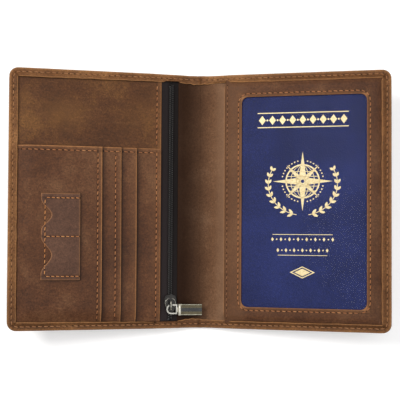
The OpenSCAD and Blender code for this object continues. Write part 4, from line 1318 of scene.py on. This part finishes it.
def profile_bar(name, x0, x1, prof, mat, rep_, chamfer=0.12, mats=None):
    """A closed (y, z) section drawn along the pull, with softened ends."""
    V, F = [], []
    xs = [(x0, 0.94), (x0 + chamfer, 1.0), (x1 - chamfer, 1.0), (x1, 0.94)]
    cy = sum(p[0] for p in prof) / len(prof)
    cz = (max(p[1] for p in prof) + min(p[1] for p in prof)) / 2
    m = len(prof)
    for x, k in xs:
        ky = 1 - (1 - k) * 0.35
        for y, z in prof:
            V.append((x, cy + (y - cy) * ky, cz + (z - cz) * k))
    mi = []
    for i in range(len(xs) - 1):
        for q in range(m):
            r = (q + 1) % m
            F.append((i * m + q, (i + 1) * m + q, (i + 1) * m + r, i * m + r))
            mi.append(mats[q] if mats else 0)
    F.append(tuple(range(m)))
    F.append(tuple((len(xs) - 1) * m + q for q in range(m - 1, -1, -1)))
    mi += [0, 0]
    o = make(name, left_rigid(on_pull(np.array(V))), F, mat, body="zip_pull", replaces=rep_, slot="pull_metal",
             smooth=False, world=True)
    if mats:
        o.data.materials.append(M_GROOVE_SHADE)
        o.data.materials.append(M_RIM_HIGHLIGHT)
        o.data.polygons.foreach_set("material_index", mi)
    return o


# section of the bar: rounded rims in a lighter copy of the metal as a painted highlight, brushed lands, and a sunk
# middle in a darker copy as painted shade
sec = [(-3.1, 0.25), (-2.95, 0.06), (2.95, 0.06), (3.1, 0.25), (3.1, 1.0), (3.0, 1.17), (2.8, 1.23), (2.55, 1.16), (1.15, 1.16),
       (1.0, 1.08), (0.92, 0.84), (-0.92, 0.84), (-1.0, 1.08), (-1.15, 1.16), (-2.55, 1.16), (-2.8, 1.23), (-3.0, 1.17), (-3.1, 1.0)]
mat_i = [0, 0, 0, 0, 0, 2, 2, 0, 2, 1, 1, 1, 2, 0, 2, 2, 0, 0]
profile_bar("pull_bar_metal", 2.2, 13.9, sec, M_BAR, ["pull_bar"], 0.22, mat_i)
keep("pull_collar", M_COLLAR, 0.3, 4)
# the band round the collar is a lighter copy of the metal, a painted highlight
tube("pull_collar_band", left_rigid(on_pull([(1.5, -2.75, 1.3), (1.5, -1.4, 1.34), (1.5, 0, 1.35), (1.5, 1.4, 1.34), (1.5, 2.75, 1.3)])), 0.34,
     M_COLLAR_HIGHLIGHT, "zip_pull", "pull_metal", flat=0.6, world=True)

# ------------------------------------------------------------------ stage
def floor():
    me = bpy.data.meshes.new("floor")
    s = 3.0
    me.from_pydata([(-s, -s, -0.00035), (s, -s, -0.00035), (s, s, -0.00035), (-s, s, -0.00035)], [], [(0, 1, 2, 3)])
    o = bpy.data.objects.new("floor", me)
    bpy.context.scene.collection.objects.link(o)
    N = Nodes("floor_paper")
    nz = N.noise(N.n("ShaderNodeTexCoord").outputs["Object"], 3.0, 3)
    N.put(Base_Color=N.ramp(nz, [(0.3, (0.86, 0.86, 0.86, 1)), (0.7, (0.9, 0.9, 0.9, 1))]), Roughness=0.9,
          Emission_Color=(1, 1, 1, 1), Emission_Strength=0.22)
    me.materials.append(N.m)


floor()


def area(name, loc, target, size, power, color=(1, 1, 1)):
    L = bpy.data.lights.new(name, "AREA")
    L.shape, L.size, L.energy, L.color = "DISK", size, power, color
    o = bpy.data.objects.new(name, L)
    o.location = loc
    o.rotation_euler = (Vector(target) - Vector(loc)).to_track_quat("-Z", "Y").to_euler()
    bpy.context.scene.collection.objects.link(o)
    return o


area("key", (-0.56, 0.40, 0.88), (0, 0, 0), 0.46, 7.9, (1.0, 0.985, 0.96))
area("top", (0.2, 0.15, 1.25), (0, 0, 0), 1.2, 6.2)
area("fill", (0.75, -0.2, 0.85), (0, 0, 0), 1.0, 3.4, (0.97, 0.985, 1.0))

world = bpy.data.worlds.new("studio")
bpy.context.scene.world = world
world.use_nodes = True
world.node_tree.nodes["Background"].inputs[0].default_value = (1, 1, 1, 1)
world.node_tree.nodes["Background"].inputs[1].default_value = 0.33

scene = bpy.context.scene
scene.view_settings.view_transform = "Standard"
scene.view_settings.look = "None"

cam = bpy.data.cameras.new("camera")
cam.lens, cam.sensor_width = 73.08, 36.0
cam.clip_start, cam.clip_end = 0.01, 20
camo = bpy.data.objects.new("camera", cam)
camo.location = (0.00015, -0.0183, 0.4632)
camo.rotation_euler = (math.radians(2.35), 0, math.radians(0.35))
scene.collection.objects.link(camo)
scene.camera = camo
